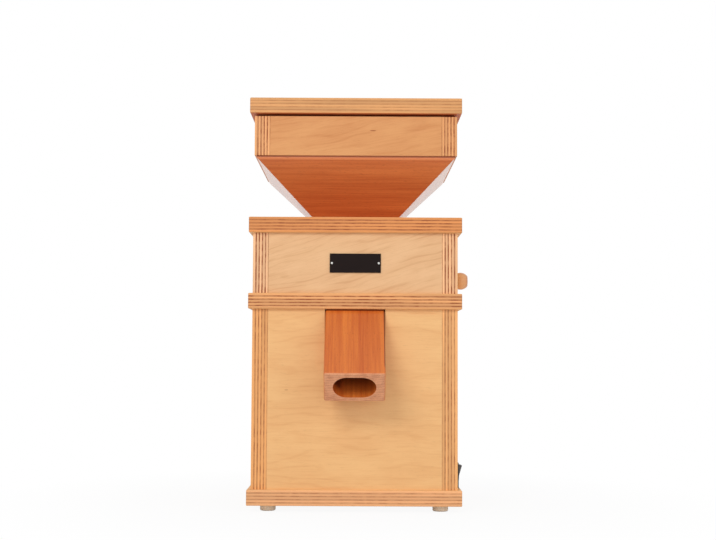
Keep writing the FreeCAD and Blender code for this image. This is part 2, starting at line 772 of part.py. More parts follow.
def make_spout():
    """A block set at 45 degrees, built along its own slope.

    Its Z axis runs up the slope and its origin lies on the case's front face.
    """
    body = new_body("spout", y=-case_half, z=middle_bottom - S["spout_drop"])
    half_wide = S["spout_wide"] / 2
    half_thick = S["spout_thick"] / 2
    block = rectangle(new_sketch(body, "XY_Plane", -S["spout_reach"]),
                      -half_wide, -half_thick, half_wide, half_thick)
    level_cut = S["spout_drop"] * ROOT_TWO
    whole = S["spout_reach"] + level_cut + S["spout_thick"]
    pad(body, block, whole)
    beyond = level_cut + S["spout_thick"] * 2
    level_top = outline(new_sketch(body, "YZ_Plane"), [
        (-S["spout_thick"], level_cut - S["spout_thick"]),
        (S["spout_thick"], level_cut + S["spout_thick"]),
        (S["spout_thick"], beyond), (-S["spout_thick"], beyond)])
    cut(body, level_top)
    ease_edges(body, S["spout_ease"], spout_edge)
    channel = stadium(new_sketch(body, "XY_Plane"), Size(0, "0"), Size(0, "0"),
                      S["channel_wide"], S["channel_high"])
    cut(body, channel)
    spot = body.Placement.Base
    body.Placement = Placement(spot, Rotation(Vector(1, 0, 0), -45))
    return [body]


def spout_edge(edge):
    """The four long edges of the block, and those round its end face."""
    low, high = edge.BoundBox.ZMin, edge.BoundBox.ZMax
    end = -number(S["spout_reach"])
    long_edge = low < end + 1 < high
    end_edge = high < end + 1
    return long_edge or end_edge


# Funnel, hopper frame and lid.

def make_funnel():
    """Four sloping boards, mitred where they meet."""
    foot = S["funnel_foot"] / 2
    run = S["funnel_board"] * ROOT_TWO
    rim_level = funnel_high - S["funnel_rim"]
    top_inner = foot + funnel_high - run
    corner = rim_half + S["cut_over"]
    pieces = []
    for quarter, side in enumerate(("front", "right", "back", "left")):
        body = new_body("funnel_" + side, z=deck_top)
        section = outline(new_sketch(body, "YZ_Plane"), [
            (-foot, 0), (-(foot - run), 0), (-top_inner, funnel_high),
            (-rim_half, funnel_high), (-rim_half, rim_level)])
        pad(body, section, rim_half * 2, both=True)
        mitre = new_sketch(body, "XY_Plane")
        outline(mitre, [(0, 0), (corner, -corner), (corner, 0)])
        outline(mitre, [(0, 0), (-corner, 0), (-corner, -corner)])
        cut(body, mitre)
        body.Placement = Placement(
            body.Placement.Base, Rotation(Vector(0, 0, 1), 90 * quarter))
        pieces.append(body)
    return pieces


def make_hopper():
    """The hopper frame: side boards full depth, front and back between them."""
    pieces = []
    for side, sign in (("left", -1), ("right", 1)):
        body = new_body("hopper_" + side, z=frame_bottom)
        sketch = new_sketch(body, "XY_Plane")
        rectangle(sketch, hopper_inner * sign, -hopper_half, hopper_half * sign, hopper_half)
        pad(body, sketch, S["hopper_high"])
        pieces.append(body)
    for side, sign in (("front", -1), ("back", 1)):
        body = new_body("hopper_" + side, z=frame_bottom)
        sketch = new_sketch(body, "XY_Plane")
        rectangle(sketch, -hopper_inner, hopper_inner * sign, hopper_inner, hopper_half * sign)
        pad(body, sketch, S["hopper_high"])
        pieces.append(body)
    for body in pieces:
        rebate = square(new_sketch(body, "XY_Plane", S["hopper_high"]), rebate_half)
        cut(body, rebate, S["rebate_deep"])
    return pieces


def make_lid():
    """The lid board, and under it the locating board that sits in the rebate."""
    lid = square_board("lid_board", lid_bottom)
    seat = frame_top - S["rebate_deep"]
    locator = new_body("lid_locator", z=seat)
    pad(locator, square(new_sketch(locator, "XY_Plane"), rebate_half - S["lid_fit"]),
        lid_bottom - seat)
    return [lid, locator]


def make_feed_throat():
    """A square block in the deck whose cone narrows to a tube over the stones."""
    body = new_body("feed_throat", z=deck_bottom)
    tube = circle(new_sketch(body, "XY_Plane"), 0, 0, S["throat_tube"])
    pad(body, square(new_sketch(body, "XY_Plane"), S["throat_side"] / 2), S["board"])
    pad(body, tube, S["throat_drop"], back=True)
    bore = S["throat_bore"]
    cone_end = S["board"] - S["cone_deep"]
    hollow = outline(new_sketch(body, "XZ_Plane"), [
        (0, S["board"]), (S["throat_mouth"], S["board"]), (bore, cone_end),
        (bore, -S["throat_drop"]), (0, -S["throat_drop"])])
    groove(body, hollow)
    return [body]


# Grinding gear.

def make_chamber():
    """The cast chamber: flange, floor with the flour outlet, wall and ring shoulder."""
    shoulder = chamber_radius + S["shoulder_wide"]
    shoulder_top = ring_bottom - S["ring_fit"]
    body = turned("chamber_housing", [
        (S["shaft_hole"], middle_top), (flange_radius, middle_top),
        (flange_radius, floor_top), (shoulder, floor_top), (shoulder, shoulder_top),
        (chamber_radius, shoulder_top), (chamber_radius, chamber_top),
        (chamber_bore, chamber_top), (chamber_bore, floor_top), (S["shaft_hole"], floor_top)])
    outlet = new_sketch(body, "XY_Plane", middle_top)
    front = -(chamber_bore - S["outlet_inset"])
    rear = -(chute_back - S["chute_long"] / 2)
    rectangle(outlet, -S["chute_wide"] / 2, front, S["chute_wide"] / 2, rear)
    cut(body, outlet, S["floor_thick"], back=True)
    holes = new_sketch(body, "XY_Plane", middle_top)
    for x, y, _ in four_corners(bolt_half):
        circle(holes, x, y, S["bolt_radius"] + S["screw_fit"])
    cut(body, holes)
    guide = circle(new_sketch(body, "XY_Plane", chamber_top), 0, guide_circle,
                   S["guide_radius"] + S["glue_fit"])
    round_pattern(body, cut(body, guide, S["guide_deep"]), S["guide_count"])
    return [body]


def make_guide_pins():
    """Pins in the chamber's rim on which the upper stone's carrier slides."""
    master = turned("guide_pin_pattern", [
        (0, 0), (S["guide_radius"], 0), (S["guide_radius"], guide_length()), (0, guide_length())])
    places = []
    count = int(number(S["guide_count"]))
    for i in range(count):
        angle = math.pi / 2 + 2 * math.pi * i / count
        places.append((guide_circle * math.cos(angle), guide_circle * math.sin(angle),
                       chamber_top - S["guide_deep"]))
    return [place_copies("guide_pins", master, places)]


def guide_length():
    return carrier_top - S["guide_short"] - chamber_top + S["guide_deep"]


def make_adjusting_ring():
    """The ring that the lever turns; its bore lifts the upper stone's carrier."""
    ease = S["edge_ease"]
    body = turned("adjusting_ring", [
        (ring_bore, ring_bottom), (ring_radius - ease, ring_bottom),
        (ring_radius, ring_bottom + ease), (ring_radius, ring_top - ease),
        (ring_radius - ease, ring_top), (ring_bore, ring_top)])
    socket = circle(new_sketch(body, "YZ_Plane"), 0, lever_axis, rod_radius + S["glue_fit"])
    cut(body, socket, back=True)
    return [body]


def make_lever():
    """The rod through the side panel's slot and the ball knob on its end."""
    knob_centre = case_half + S["knob_out"]
    rod_start = ring_bore + S["glue_fit"]
    ball = S["knob_wide"] / 2
    rod_end = knob_centre - ball + S["knob_socket"] - S["glue_fit"]
    lever = rod("lever_rod", rod_radius, rod_end - rod_start, rod_start, 0, lever_axis,
                Vector(1, 0, 0))
    lever.Label = "lever_rod"
    knob = new_body("knob", x=knob_centre, z=lever_axis)
    revolve(knob, knob_section(knob, ball), "H_Axis")
    return [lever, knob]


def knob_section(body, ball):
    """Half section of the ball: socket, flat end and round outside."""
    sketch = new_sketch(body, "XZ_Plane")
    hole = rod_radius + S["glue_fit"]
    flat = S["knob_flat"]
    floor = S["knob_socket"] - ball
    mouth_x = -math.sqrt(number(ball) ** 2 - number(hole) ** 2)
    flat_y = math.sqrt(number(ball) ** 2 - number(flat) ** 2)
    mouth = Vector(mouth_x, number(hole), 0)
    edge = Vector(number(flat), flat_y, 0)
    centre = Part.Circle(Vector(), Vector(0, 0, 1), number(ball))
    start = math.atan2(edge.y, edge.x)
    end = math.atan2(mouth.y, mouth.x)
    sketch.addGeometry(Part.ArcOfCircle(centre, start, end))
    corners = [mouth, Vector(number(floor), number(hole), 0), Vector(number(floor), 0, 0),
               Vector(number(flat), 0, 0), edge]
    for begin, finish in zip(corners, corners[1:]):
        sketch.addGeometry(Part.LineSegment(begin, finish))
    for edge_index in range(1, 4):
        sketch.addConstraint(Sketcher.Constraint("Coincident", edge_index, 2, edge_index + 1, 1))
    sketch.addConstraint(Sketcher.Constraint("Coincident", 0, 2, 1, 1))
    sketch.addConstraint(Sketcher.Constraint("Coincident", 4, 2, 0, 1))
    sketch.addConstraint(Sketcher.Constraint("Coincident", 0, 3, -1, 1))
    tie_radius(sketch, 0, ball)
    sketch.addConstraint(Sketcher.Constraint("Horizontal", 1))
    pin_down(sketch, 2, 1, floor, hole)
    pin_down(sketch, 3, 1, floor, 0)
    pin_down(sketch, 4, 1, flat, 0)
    sketch.addConstraint(Sketcher.Constraint("Vertical", 4))
    return sketch


def make_upper_stone():
    """The standing stone and the carrier that raises and lowers it."""
    carrier = turned("stone_carrier", [
        (S["carrier_eye"], upper_top), (chamber_radius, upper_top),
        (chamber_radius, carrier_top), (S["carrier_eye"], carrier_top)])
    guide = circle(new_sketch(carrier, "XY_Plane", upper_top), 0, guide_circle,
                   S["guide_radius"] + S["run_fit"])
    round_pattern(carrier, cut(carrier, guide), S["guide_count"])
    stone = turned("upper_stone", [
        (S["eye_radius"], upper_bottom + S["swallow_deep"]), (S["swallow_radius"], upper_bottom),
        (S["stone_radius"], upper_bottom), (S["stone_radius"], upper_top),
        (S["eye_radius"], upper_top)])
    cut_furrows(stone, upper_bottom, up=True)
    return [carrier, stone]


def cut_furrows(stone, level, up):
    """Slanting furrows from the entry cone to the stone's rim."""
    sketch = new_sketch(stone, "XY_Plane", level)
    low = S["furrow_skew"] - S["furrow_wide"] / 2
    rectangle(sketch, S["swallow_radius"], low, S["stone_radius"] + S["furrow_wide"],
              low + S["furrow_wide"])
    round_pattern(stone, cut(stone, sketch, S["furrow_deep"], back=up), S["furrow_count"])


def make_runner():
    """The turning stone, its plate with flour paddles, and the nut that holds it."""
    stone = turned("runner_stone", [
        (S["runner_eye"], runner_bottom), (S["stone_radius"], runner_bottom),
        (S["stone_radius"], runner_top), (S["swallow_radius"], runner_top),
        (S["runner_eye"], runner_top - S["swallow_deep"])])
    cut_furrows(stone, runner_top, up=False)
    hub = S["runner_eye"] - S["screw_fit"]
    hub_top = runner_top - S["swallow_deep"]
    bore = S["shaft_radius"] + S["glue_fit"]
    plate_bottom = runner_bottom - S["plate_thick"]
    plate = turned("runner_plate", [
        (bore, plate_bottom), (plate_radius, plate_bottom),
        (plate_radius, runner_bottom), (hub, runner_bottom), (hub, hub_top), (bore, hub_top)])
    paddle = new_sketch(plate, "XY_Plane", plate_bottom)
    half = S["paddle_thick"] / 2
    rectangle(paddle, S["stone_radius"] + S["stone_gap"], -half, paddle_reach, half)
    round_pattern(plate, pad(plate, paddle, S["paddle_high"]), S["paddle_count"])
    return [stone, plate, make_hexagon_nut("spindle_nut", S["nut_across"] / 2, S["nut_high"],
                                           S["shaft_tip"], hub_top)]


def make_hexagon_nut(label, corner, high, bore, level):
    """A six sided nut, as a prism with a round hole."""
    prism = doc.addObject("Part::Prism", label + "_blank")
    prism.Polygon = 6
    bind(prism, "Circumradius", corner)
    bind(prism, "Height", high)
    hole = doc.addObject("Part::Cylinder", label + "_hole")
    bind(hole, "Radius", bore + S["glue_fit"])
    bind(hole, "Height", high)
    nut = doc.addObject("Part::Cut", label)
    nut.Label = label
    nut.Base = prism
    nut.Tool = hole
    bind(nut, "Placement.Base.z", level)
    return nut


# Motor.

def make_pillars_and_bolts():
    """Four pillars under the middle board, and the bolts through the chamber's flange."""
    radius = S["pillar_wide"] / 2
    hole = S["bolt_radius"] + S["screw_fit"]
    hole_deep = S["bolt_into"] + S["screw_fit"]
    pillar = turned("pillar_pattern", [
        (0, 0), (radius, 0), (radius, S["pillar_long"]), (hole, S["pillar_long"]),
        (hole, S["pillar_long"] - hole_deep), (0, S["pillar_long"] - hole_deep)])
    head_high = S["bolt_head_high"]
    key = S["bolt_key"]
    grip = S["bolt_into"] + S["board"] + S["floor_thick"]
    bolt = turned("chamber_bolt_pattern", [
        (0, 0), (S["bolt_radius"], 0), (S["bolt_radius"], grip), (S["bolt_head"], grip),
        (S["bolt_head"], grip + head_high), (key, grip + head_high),
        (key, grip + head_high / 2), (0, grip + head_high / 2)])
    bolt_level = middle_bottom - S["bolt_into"]
    return [place_copies("motor_pillars", pillar, four_corners(bolt_half, mount_top)),
            place_copies("chamber_bolts", bolt, four_corners(bolt_half, bolt_level))]


def make_shields():
    """The motor's end shields: cups round the windings with a boss for each bearing."""
    boss_top = shield_floor + S["bearing_high"]
    seat = S["bearing_radius"] + S["glue_fit"]
    shaft_way = S["shaft_hole"]
    lower = turned("lower_shield", [
        (shaft_way, motor_bottom), (shield_radius, motor_bottom),
        (shield_radius, core_bottom), (shield_bore, core_bottom), (shield_bore, shield_floor),
        (boss_radius, shield_floor), (boss_radius, boss_top),
        (seat, boss_top), (seat, shield_floor), (shaft_way, shield_floor)])
    upper = new_body("upper_shield")
    plate = square(new_sketch(upper, "XY_Plane", mount_bottom), bolt_half + S["mount_rim"])
    pad(upper, plate, S["mount_thick"])
    revolve(upper, outline(new_sketch(upper, "XZ_Plane"), [
        (shield_bore, core_top), (shield_radius, core_top),
        (shield_radius, mount_bottom), (shield_bore, mount_bottom)]))
    revolve(upper, outline(new_sketch(upper, "XZ_Plane"), [
        (seat, mount_bottom - S["bearing_high"]), (boss_radius, mount_bottom - S["bearing_high"]),
        (boss_radius, mount_bottom), (seat, mount_bottom)]))
    cut(upper, circle(new_sketch(upper, "XY_Plane"), 0, 0, shaft_way))
    for body in (lower, upper):
        tie = circle(new_sketch(body, "XY_Plane"), tie_circle, 0,
                     S["tie_radius"] + S["screw_fit"])
        round_pattern(body, cut(body, tie), Size(4, "4"))
    return [lower, upper]


def make_motor_core():
    """Stator core with its winding heads, and the rotor on the spindle."""
    stator = turned("stator_core", [
        (S["core_bore"], core_bottom), (S["core_radius"], core_bottom),
        (S["core_radius"], core_top), (S["core_bore"], core_top)])
    rotor_radius = S["core_bore"] - S["air_gap"]
    bore = S["shaft_radius"] + S["glue_fit"]
    rotor = turned("rotor", [
        (bore, core_bottom), (rotor_radius, core_bottom), (rotor_radius, core_top), (bore, core_top)])
    heads = []
    for level in (core_bottom - S["winding_high"], core_top):
        heads.append(winding_head("winding_head_%d" % len(heads), level))
    windings = doc.addObject("Part::Compound", "winding_heads")
    windings.Label = "winding_heads"
    windings.Links = heads
    return [stator, rotor, windings]


def winding_head(label, level):
    """One bound ring of winding beside the core."""
    return turned(label, [
        (winding_in, 0), (winding_out, 0), (winding_out, S["winding_high"]),
        (winding_in, S["winding_high"])], z=level)


def make_bearing(label, level):
    """A sealed ball bearing as one ring."""
    bore = S["shaft_radius"] + S["run_fit"]
    return turned(label, [
        (bore, 0), (S["bearing_radius"], 0), (S["bearing_radius"], S["bearing_high"]),
        (bore, S["bearing_high"])], z=level)


def make_bearings():
    return [make_bearing("lower_bearing", shield_floor),
            make_bearing("upper_bearing", mount_bottom - S["bearing_high"])]


def make_spindle():
    """The motor shaft, which runs up through the chamber to carry the runner stone."""
    hub_top = runner_top - S["swallow_deep"]
    ease = S["edge_ease"]
    tip_top = hub_top + S["nut_high"] + ease
    return [turned("spindle", [
        (0, fan_bottom), (S["shaft_tip"] - ease, fan_bottom), (S["shaft_tip"], fan_bottom + ease),
        (S["shaft_tip"], motor_bottom), (S["shaft_radius"], motor_bottom),
        (S["shaft_radius"], hub_top), (S["shaft_tip"], hub_top), (S["shaft_tip"], tip_top - ease),
        (S["shaft_tip"] - ease, tip_top), (0, tip_top)])]


def make_fan():
    """A centrifugal fan under the motor."""
    bore = S["shaft_tip"] + S["glue_fit"]
    hub = S["fan_hub"]
    disc = S["fan_disc"]
    body = turned("cooling_fan", [
        (bore, fan_bottom), (hub, fan_bottom), (hub, fan_top - disc),
        (S["fan_radius"], fan_top - disc), (S["fan_radius"], fan_top), (bore, fan_top)])
    blade = new_sketch(body, "XY_Plane", fan_top - disc)
    rectangle(blade, S["fan_eye"], -disc / 2, S["fan_radius"] - disc / 2, disc / 2)
    round_pattern(body, pad(body, blade, S["fan_high"] - disc, back=True), S["fan_blades"])
    return [body]


def make_tie_bolts():
    """Four long bolts that clamp the end shields on the stator core."""
    head = S["tie_head"]
    head_high = S["tie_head_high"]
    grip = mount_top - motor_bottom
    master = turned("tie_bolt_pattern", [
        (0, -head_high), (head, -head_high), (head, 0), (S["tie_radius"], 0),
        (S["tie_radius"], grip), (0, grip)])
    places = [(tie_circle, 0, motor_bottom), (-tie_circle, 0, motor_bottom),
              (0, tie_circle, motor_bottom), (0, -tie_circle, motor_bottom)]
    return [place_copies("tie_bolts", master, places)]


# Electrical pieces.

def make_capacitor():
    """The run capacitor, standing on the base board, and the clip that holds it."""
    radius = S["capacitor_radius"]
    high = S["capacitor_high"]
    ease = S["capacitor_ease"]
    stud = S["stud_radius"]
    y = inner_half - S["capacitor_gap"] - radius
    x = -y
    can = turned("run_capacitor", [
        (0, 0), (radius - ease, 0), (radius, ease), (radius, high), (radius - ease, high),
        (radius - ease, high - ease), (stud, high - ease), (stud, high + stud), (0, high + stud)],
        x=x, y=y, z=base_top)
    clip_in = radius + S["glue_fit"]
    clip = new_body("capacitor_clip", x=x, y=y, z=base_top + S["clip_level"])
    pad(clip, circle(new_sketch(clip, "XY_Plane"), 0, 0, clip_in + S["clip_thick"]), S["clip_high"])
    wall = inner_half - y
    half = S["clip_lug"] / 2
    lug = rectangle(new_sketch(clip, "XY_Plane"), -half, radius / 2, half, wall)
    pad(clip, lug, S["clip_high"])
    cut(clip, circle(new_sketch(clip, "XY_Plane"), 0, 0, clip_in))
    return [can, clip]


def make_terminal_block():
    """A three way terminal block on the base board."""
    pole = S["pole_pitch"]
    deep = S["terminal_deep"]
    high = S["terminal_high"]
    place = inner_half - S["terminal_inset"]
    body = new_body("terminal_block", x=place, y=place, z=base_top)
    half_long = pole * 1.5
    pad(body, rectangle(new_sketch(body, "XY_Plane"), -half_long, -deep / 2, half_long, deep / 2),
        high)
    ways = new_sketch(body, "XZ_Plane")
    wells = new_sketch(body, "XY_Plane", high)
    for place in (-pole, Size(0, "0"), pole):
        circle(ways, place, high / 2, S["way_radius"])
        circle(wells, place, 0, S["well_radius"])
    cut(body, ways)
    cut(body, wells, high / 3)
    return [body]


def gland_side():
    return case_half - S["gland_inset"]


def make_gland():
    """The cord gland in the rear panel and the nut behind the panel."""
    place = {"x": gland_side(), "z": base_top + S["gland_level"]}
    bore = S["gland_bore"]
    thread = S["gland_thread"]
    face = case_half
    flange_out = face + S["flange_thick"]
    end = face + S["gland_out"]
    ease = S["edge_ease"]
    start = inner_half - S["gland_in"]
    gland = new_body("cord_gland", **place)
    revolve(gland, outline(new_sketch(gland, "YZ_Plane"), [
        (start, bore), (end, bore), (end, S["gland_cap"] - ease), (end - ease * 2, S["gland_cap"]),
        (flange_out, S["gland_cap"]), (flange_out, S["gland_flange"]), (face, S["gland_flange"]),
        (face, thread), (start, thread)]), "H_Axis")
    nut = new_body("gland_nut", **place)
    corner = S["gland_corner"]
    half_side = corner / 2
    flat = corner * (math.sqrt(3) / 2)
    section = new_sketch(nut, "XZ_Plane", -inner_half)
    outline(section, [
        (corner, 0), (half_side, flat), (-half_side, flat),
        (-corner, 0), (-half_side, -flat), (half_side, -flat)])
    pad(nut, section, S["gland_nut_high"])
    cut(nut, circle(new_sketch(nut, "XZ_Plane", -inner_half), 0, 0, thread + S["glue_fit"]))
    return [gland, nut]


def switch_y():
    return -case_half + S["switch_back"]


def cavity_half():
    """Half height of the switch's window, round the rocker's sweep."""
    return S["rocker_radius"] + S["rocker_fit"]


def switch_half():
    """Half width of the switch body behind its bezel."""
    return S["rocker_wide"] / 2 + S["rocker_fit"] + S["switch_wall"]


def make_switch():
    """The switch body with its bezel, and the rocker on its pivot."""
    level = base_top + S["switch_level"]
    pivot = case_half + S["rocker_pivot"]
    housing = new_body("switch_body", x=pivot, y=switch_y(), z=level)
    bezel_back = -S["rocker_pivot"]
    half_wide = S["bezel_wide"] / 2
    half_high = S["bezel_high"] / 2
    bezel = rectangle(new_sketch(housing, "YZ_Plane", bezel_back),
                      -half_wide, -half_high, half_wide, half_high)
    pad(housing, bezel, S["bezel_proud"])
    body_high = cavity_half() + S["switch_wall"] / 2
    block = rectangle(new_sketch(housing, "YZ_Plane", bezel_back),
                      -switch_half(), -body_high, switch_half(), body_high)
    pad(housing, block, S["switch_deep"], back=True)
    inside = switch_half() - S["switch_wall"]
    face = S["bezel_proud"] - S["rocker_pivot"]
    window = rectangle(new_sketch(housing, "YZ_Plane", face),
                       -inside, -cavity_half(), inside, cavity_half())
    cut(housing, window, face + S["rocker_radius"])
    cut(housing, circle(new_sketch(housing, "XZ_Plane"), 0, 0, S["pivot_radius"] + S["run_fit"]),
        2 * switch_half(), both=True)
    rocker = new_body("rocker", x=pivot, y=switch_y(), z=level)
    pad(rocker, rocker_section(rocker), S["rocker_wide"], both=True)
    pin_long = 2 * switch_half() - S["switch_wall"] / 2
    pad(rocker, circle(new_sketch(rocker, "XZ_Plane"), 0, 0, S["pivot_radius"]), pin_long, both=True)
    rocker.Placement = Placement(rocker.Placement.Base,
                                 Rotation(Vector(0, 1, 0), number(S["rocker_tilt"])))
    return [housing, rocker]


def rocker_section(body):
    """Side view of the rocker: two shallow faces, round ends and a flat back."""
    sketch = new_sketch(body, "XZ_Plane")
    radius = S["rocker_radius"]
    crest = S["rocker_crest"]
    tail = -S["rocker_tail"]
    top = math.sqrt(number(radius) ** 2 - number(crest) ** 2)
    low = math.sqrt(number(radius) ** 2 - number(tail) ** 2)
    sweep = Part.Circle(Vector(), Vector(0, 0, 1), number(radius))
    front_angle = math.atan2(top, number(crest))
    back_angle = math.atan2(low, number(tail))
    valley = Vector(number(S["rocker_valley"]), 0, 0)
    upper_front = Vector(number(crest), top, 0)
    upper_back = Vector(number(tail), low, 0)
    lower_back = Vector(number(tail), -low, 0)
    lower_front = Vector(number(crest), -top, 0)
    sketch.addGeometry(Part.ArcOfCircle(sweep, front_angle, back_angle))
    sketch.addGeometry(Part.LineSegment(upper_back, lower_back))
    sketch.addGeometry(Part.ArcOfCircle(sweep, -back_angle, -front_angle))
    sketch.addGeometry(Part.LineSegment(lower_front, valley))
    sketch.addGeometry(Part.LineSegment(valley, upper_front))
    meets = [(0, 2, 1, 1), (1, 2, 2, 1), (2, 2, 3, 1), (3, 2, 4, 1), (4, 2, 0, 1)]
    for edge, end, other, other_end in meets:
        sketch.addConstraint(Sketcher.Constraint("Coincident", edge, end, other, other_end))
    for arc in (0, 2):
        sketch.addConstraint(Sketcher.Constraint("Coincident", arc, 3, -1, 1))
        tie_radius(sketch, arc, radius)
    pin_down(sketch, 4, 1, S["rocker_valley"], 0)
    sketch.addConstraint(Sketcher.Constraint("Vertical", 1))
    for edge, end, length in ((0, 1, crest), (2, 2, crest), (0, 2, tail)):
        index = sketch.addConstraint(
            Sketcher.Constraint("DistanceX", -1, 1, edge, end, number(length)))
        sketch.setExpression("Constraints[%d]" % index, rule(length))
    return sketch


def check(pieces):
    """Stop on a failed object or an empty or broken shape."""
    failed = [item.Label for item in doc.Objects
              if "Invalid" in item.State or "Error" in item.State]
    if failed:
        raise ValueError("failed: %s" % failed)
    for item in pieces:
        if item.Shape.isNull() or not item.Shape.isValid() or not item.Shape.Solids:
            raise ValueError("bad shape: %s" % item.Label)


def main():
    makers = [
        make_base_board, make_base_screws, make_feet, make_lower_sides, make_lower_front,
        make_lower_back, make_middle_board, make_upper_case, make_deck_board, make_nameplate,
        make_nameplate_pins, make_spout, make_funnel, make_hopper, make_lid, make_feed_throat,
        make_chamber, make_guide_pins, make_adjusting_ring, make_lever, make_upper_stone,
        make_runner, make_pillars_and_bolts, make_shields, make_motor_core, make_bearings,
        make_spindle, make_fan, make_tie_bolts, make_capacitor, make_terminal_block, make_gland,
        make_switch]
    pieces = []
    for maker in makers:
        pieces.extend(maker())
    doc.recompute()
    check(pieces)
    os.makedirs("parts", exist_ok=True)
    for item in pieces:
        item.Shape.exportStep("parts/%s.step" % item.Label)
        print("%-18s solids %d volume %.0f" % (
            item.Label, len(item.Shape.Solids), item.Shape.Volume))


main()
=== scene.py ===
import math

import bpy
from mathutils import Matrix, Vector


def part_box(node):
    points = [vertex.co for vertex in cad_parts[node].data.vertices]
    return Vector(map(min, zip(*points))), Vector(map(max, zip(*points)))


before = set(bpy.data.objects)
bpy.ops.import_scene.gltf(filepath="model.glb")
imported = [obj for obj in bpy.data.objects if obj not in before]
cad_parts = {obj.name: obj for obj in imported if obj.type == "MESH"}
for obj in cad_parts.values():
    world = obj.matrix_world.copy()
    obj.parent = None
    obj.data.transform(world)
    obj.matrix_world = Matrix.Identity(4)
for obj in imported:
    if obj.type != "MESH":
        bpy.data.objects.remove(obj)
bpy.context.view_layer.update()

# Looks of a grain mill built from multi-ply boards and solid beech.
# Lengths in the materials are millimetres, in the frame's own coordinates.

MM = 0.001

# Boards: thickness, spacing of the dark plies, their half width and soft side, the plain
# outer ply, and the half width and soft side of a glue joint.
BOARD_THICK = 15.0
PLY_PITCH = 3.0
PLY_LINE = 0.42
PLY_SOFT = 0.4
OUTER_PLY = 1.2
JOINT_LINE = 0.75
JOINT_SOFT = 0.3

# The spout block's thickness across its slope, and its channel.
SPOUT_THICK = 37.0
CHANNEL_WIDE = 40.0
CHANNEL_HIGH = 26.0

X_AXIS, Y_AXIS, Z_AXIS = 0, 1, 2

# Colours as sRGB values from 0 to 255.
FRONT_PALE = (243, 192, 130)
FRONT_DEEP = (228, 170, 111)
LOWER_PALE = (238, 188, 127)
LOWER_DEEP = (225, 167, 108)
EDGE_PALE = (231, 166, 112)
# Colour of the dark plies and small dark marks, also used for a painted shade line on the funnel.
EDGE_DARK_AND_SHADE = (146, 70, 26)
UPPER_PALE = (230, 184, 136)
UPPER_DEEP = (212, 160, 112)
HOPPER_PALE = (218, 154, 96)
HOPPER_DEEP = (200, 130, 74)
# Painted shade: the lid locator's edges are dark so that the gap under the lid looks shaded.
LOCATOR_EDGE_SHADE = (132, 48, 20)
BEECH_PALE = (216, 120, 62)
BEECH_DEEP = (184, 86, 40)
# Paler copies of the funnel's beech for its side boards: painted sheen.
FUNNEL_SIDE_SHEEN_PALE = (228, 148, 82)
FUNNEL_SIDE_SHEEN_DEEP = (198, 112, 60)
# Painted highlight on the funnel's upright rim.
RIM_HIGHLIGHT = (236, 142, 88)
SPOUT_PALE = (222, 124, 48)
SPOUT_DEEP = (190, 86, 28)
KNOB_PALE = (252, 190, 128)
KNOB_DEEP = (236, 162, 102)
FOOT_PALE = (255, 244, 224)
FOOT_DEEP = (250, 228, 202)
FOOT_END_PALE = (206, 176, 146)
FOOT_END_DEEP = (180, 146, 114)
END_PALE = (232, 166, 122)
END_DEEP = (196, 124, 84)
# Painted shade in the spout's channel, under the board above it and along its right edge.
CHANNEL_SHADE = (110, 42, 18)
# Painted shade for the lid's underside, seen in the gap above the hopper.
LID_UNDER_SHADE = (206, 112, 62)
STONE_PALE = (176, 168, 152)
STONE_DEEP = (134, 126, 112)
STONE_GRIT = (96, 90, 82)
COPPER_DEEP = (120, 52, 26)
COPPER_PALE = (196, 104, 58)


def colour(rgb):
    """An sRGB colour as Blender's linear one."""
    linear = []
    for channel in rgb:
        value = channel / 255
        if value <= 0.04045:
            linear.append(value / 12.92)
        else:
            linear.append(((value + 0.055) / 1.055) ** 2.4)
    return (*linear, 1.0)


def shaded(rgb, share):
    """The same hue at a share of its sRGB values."""
    return colour([channel * share for channel in rgb])


def low_side(node, axis):
    """The lower face of a board along its thickness, in millimetres."""
    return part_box(node)[0][axis] / MM


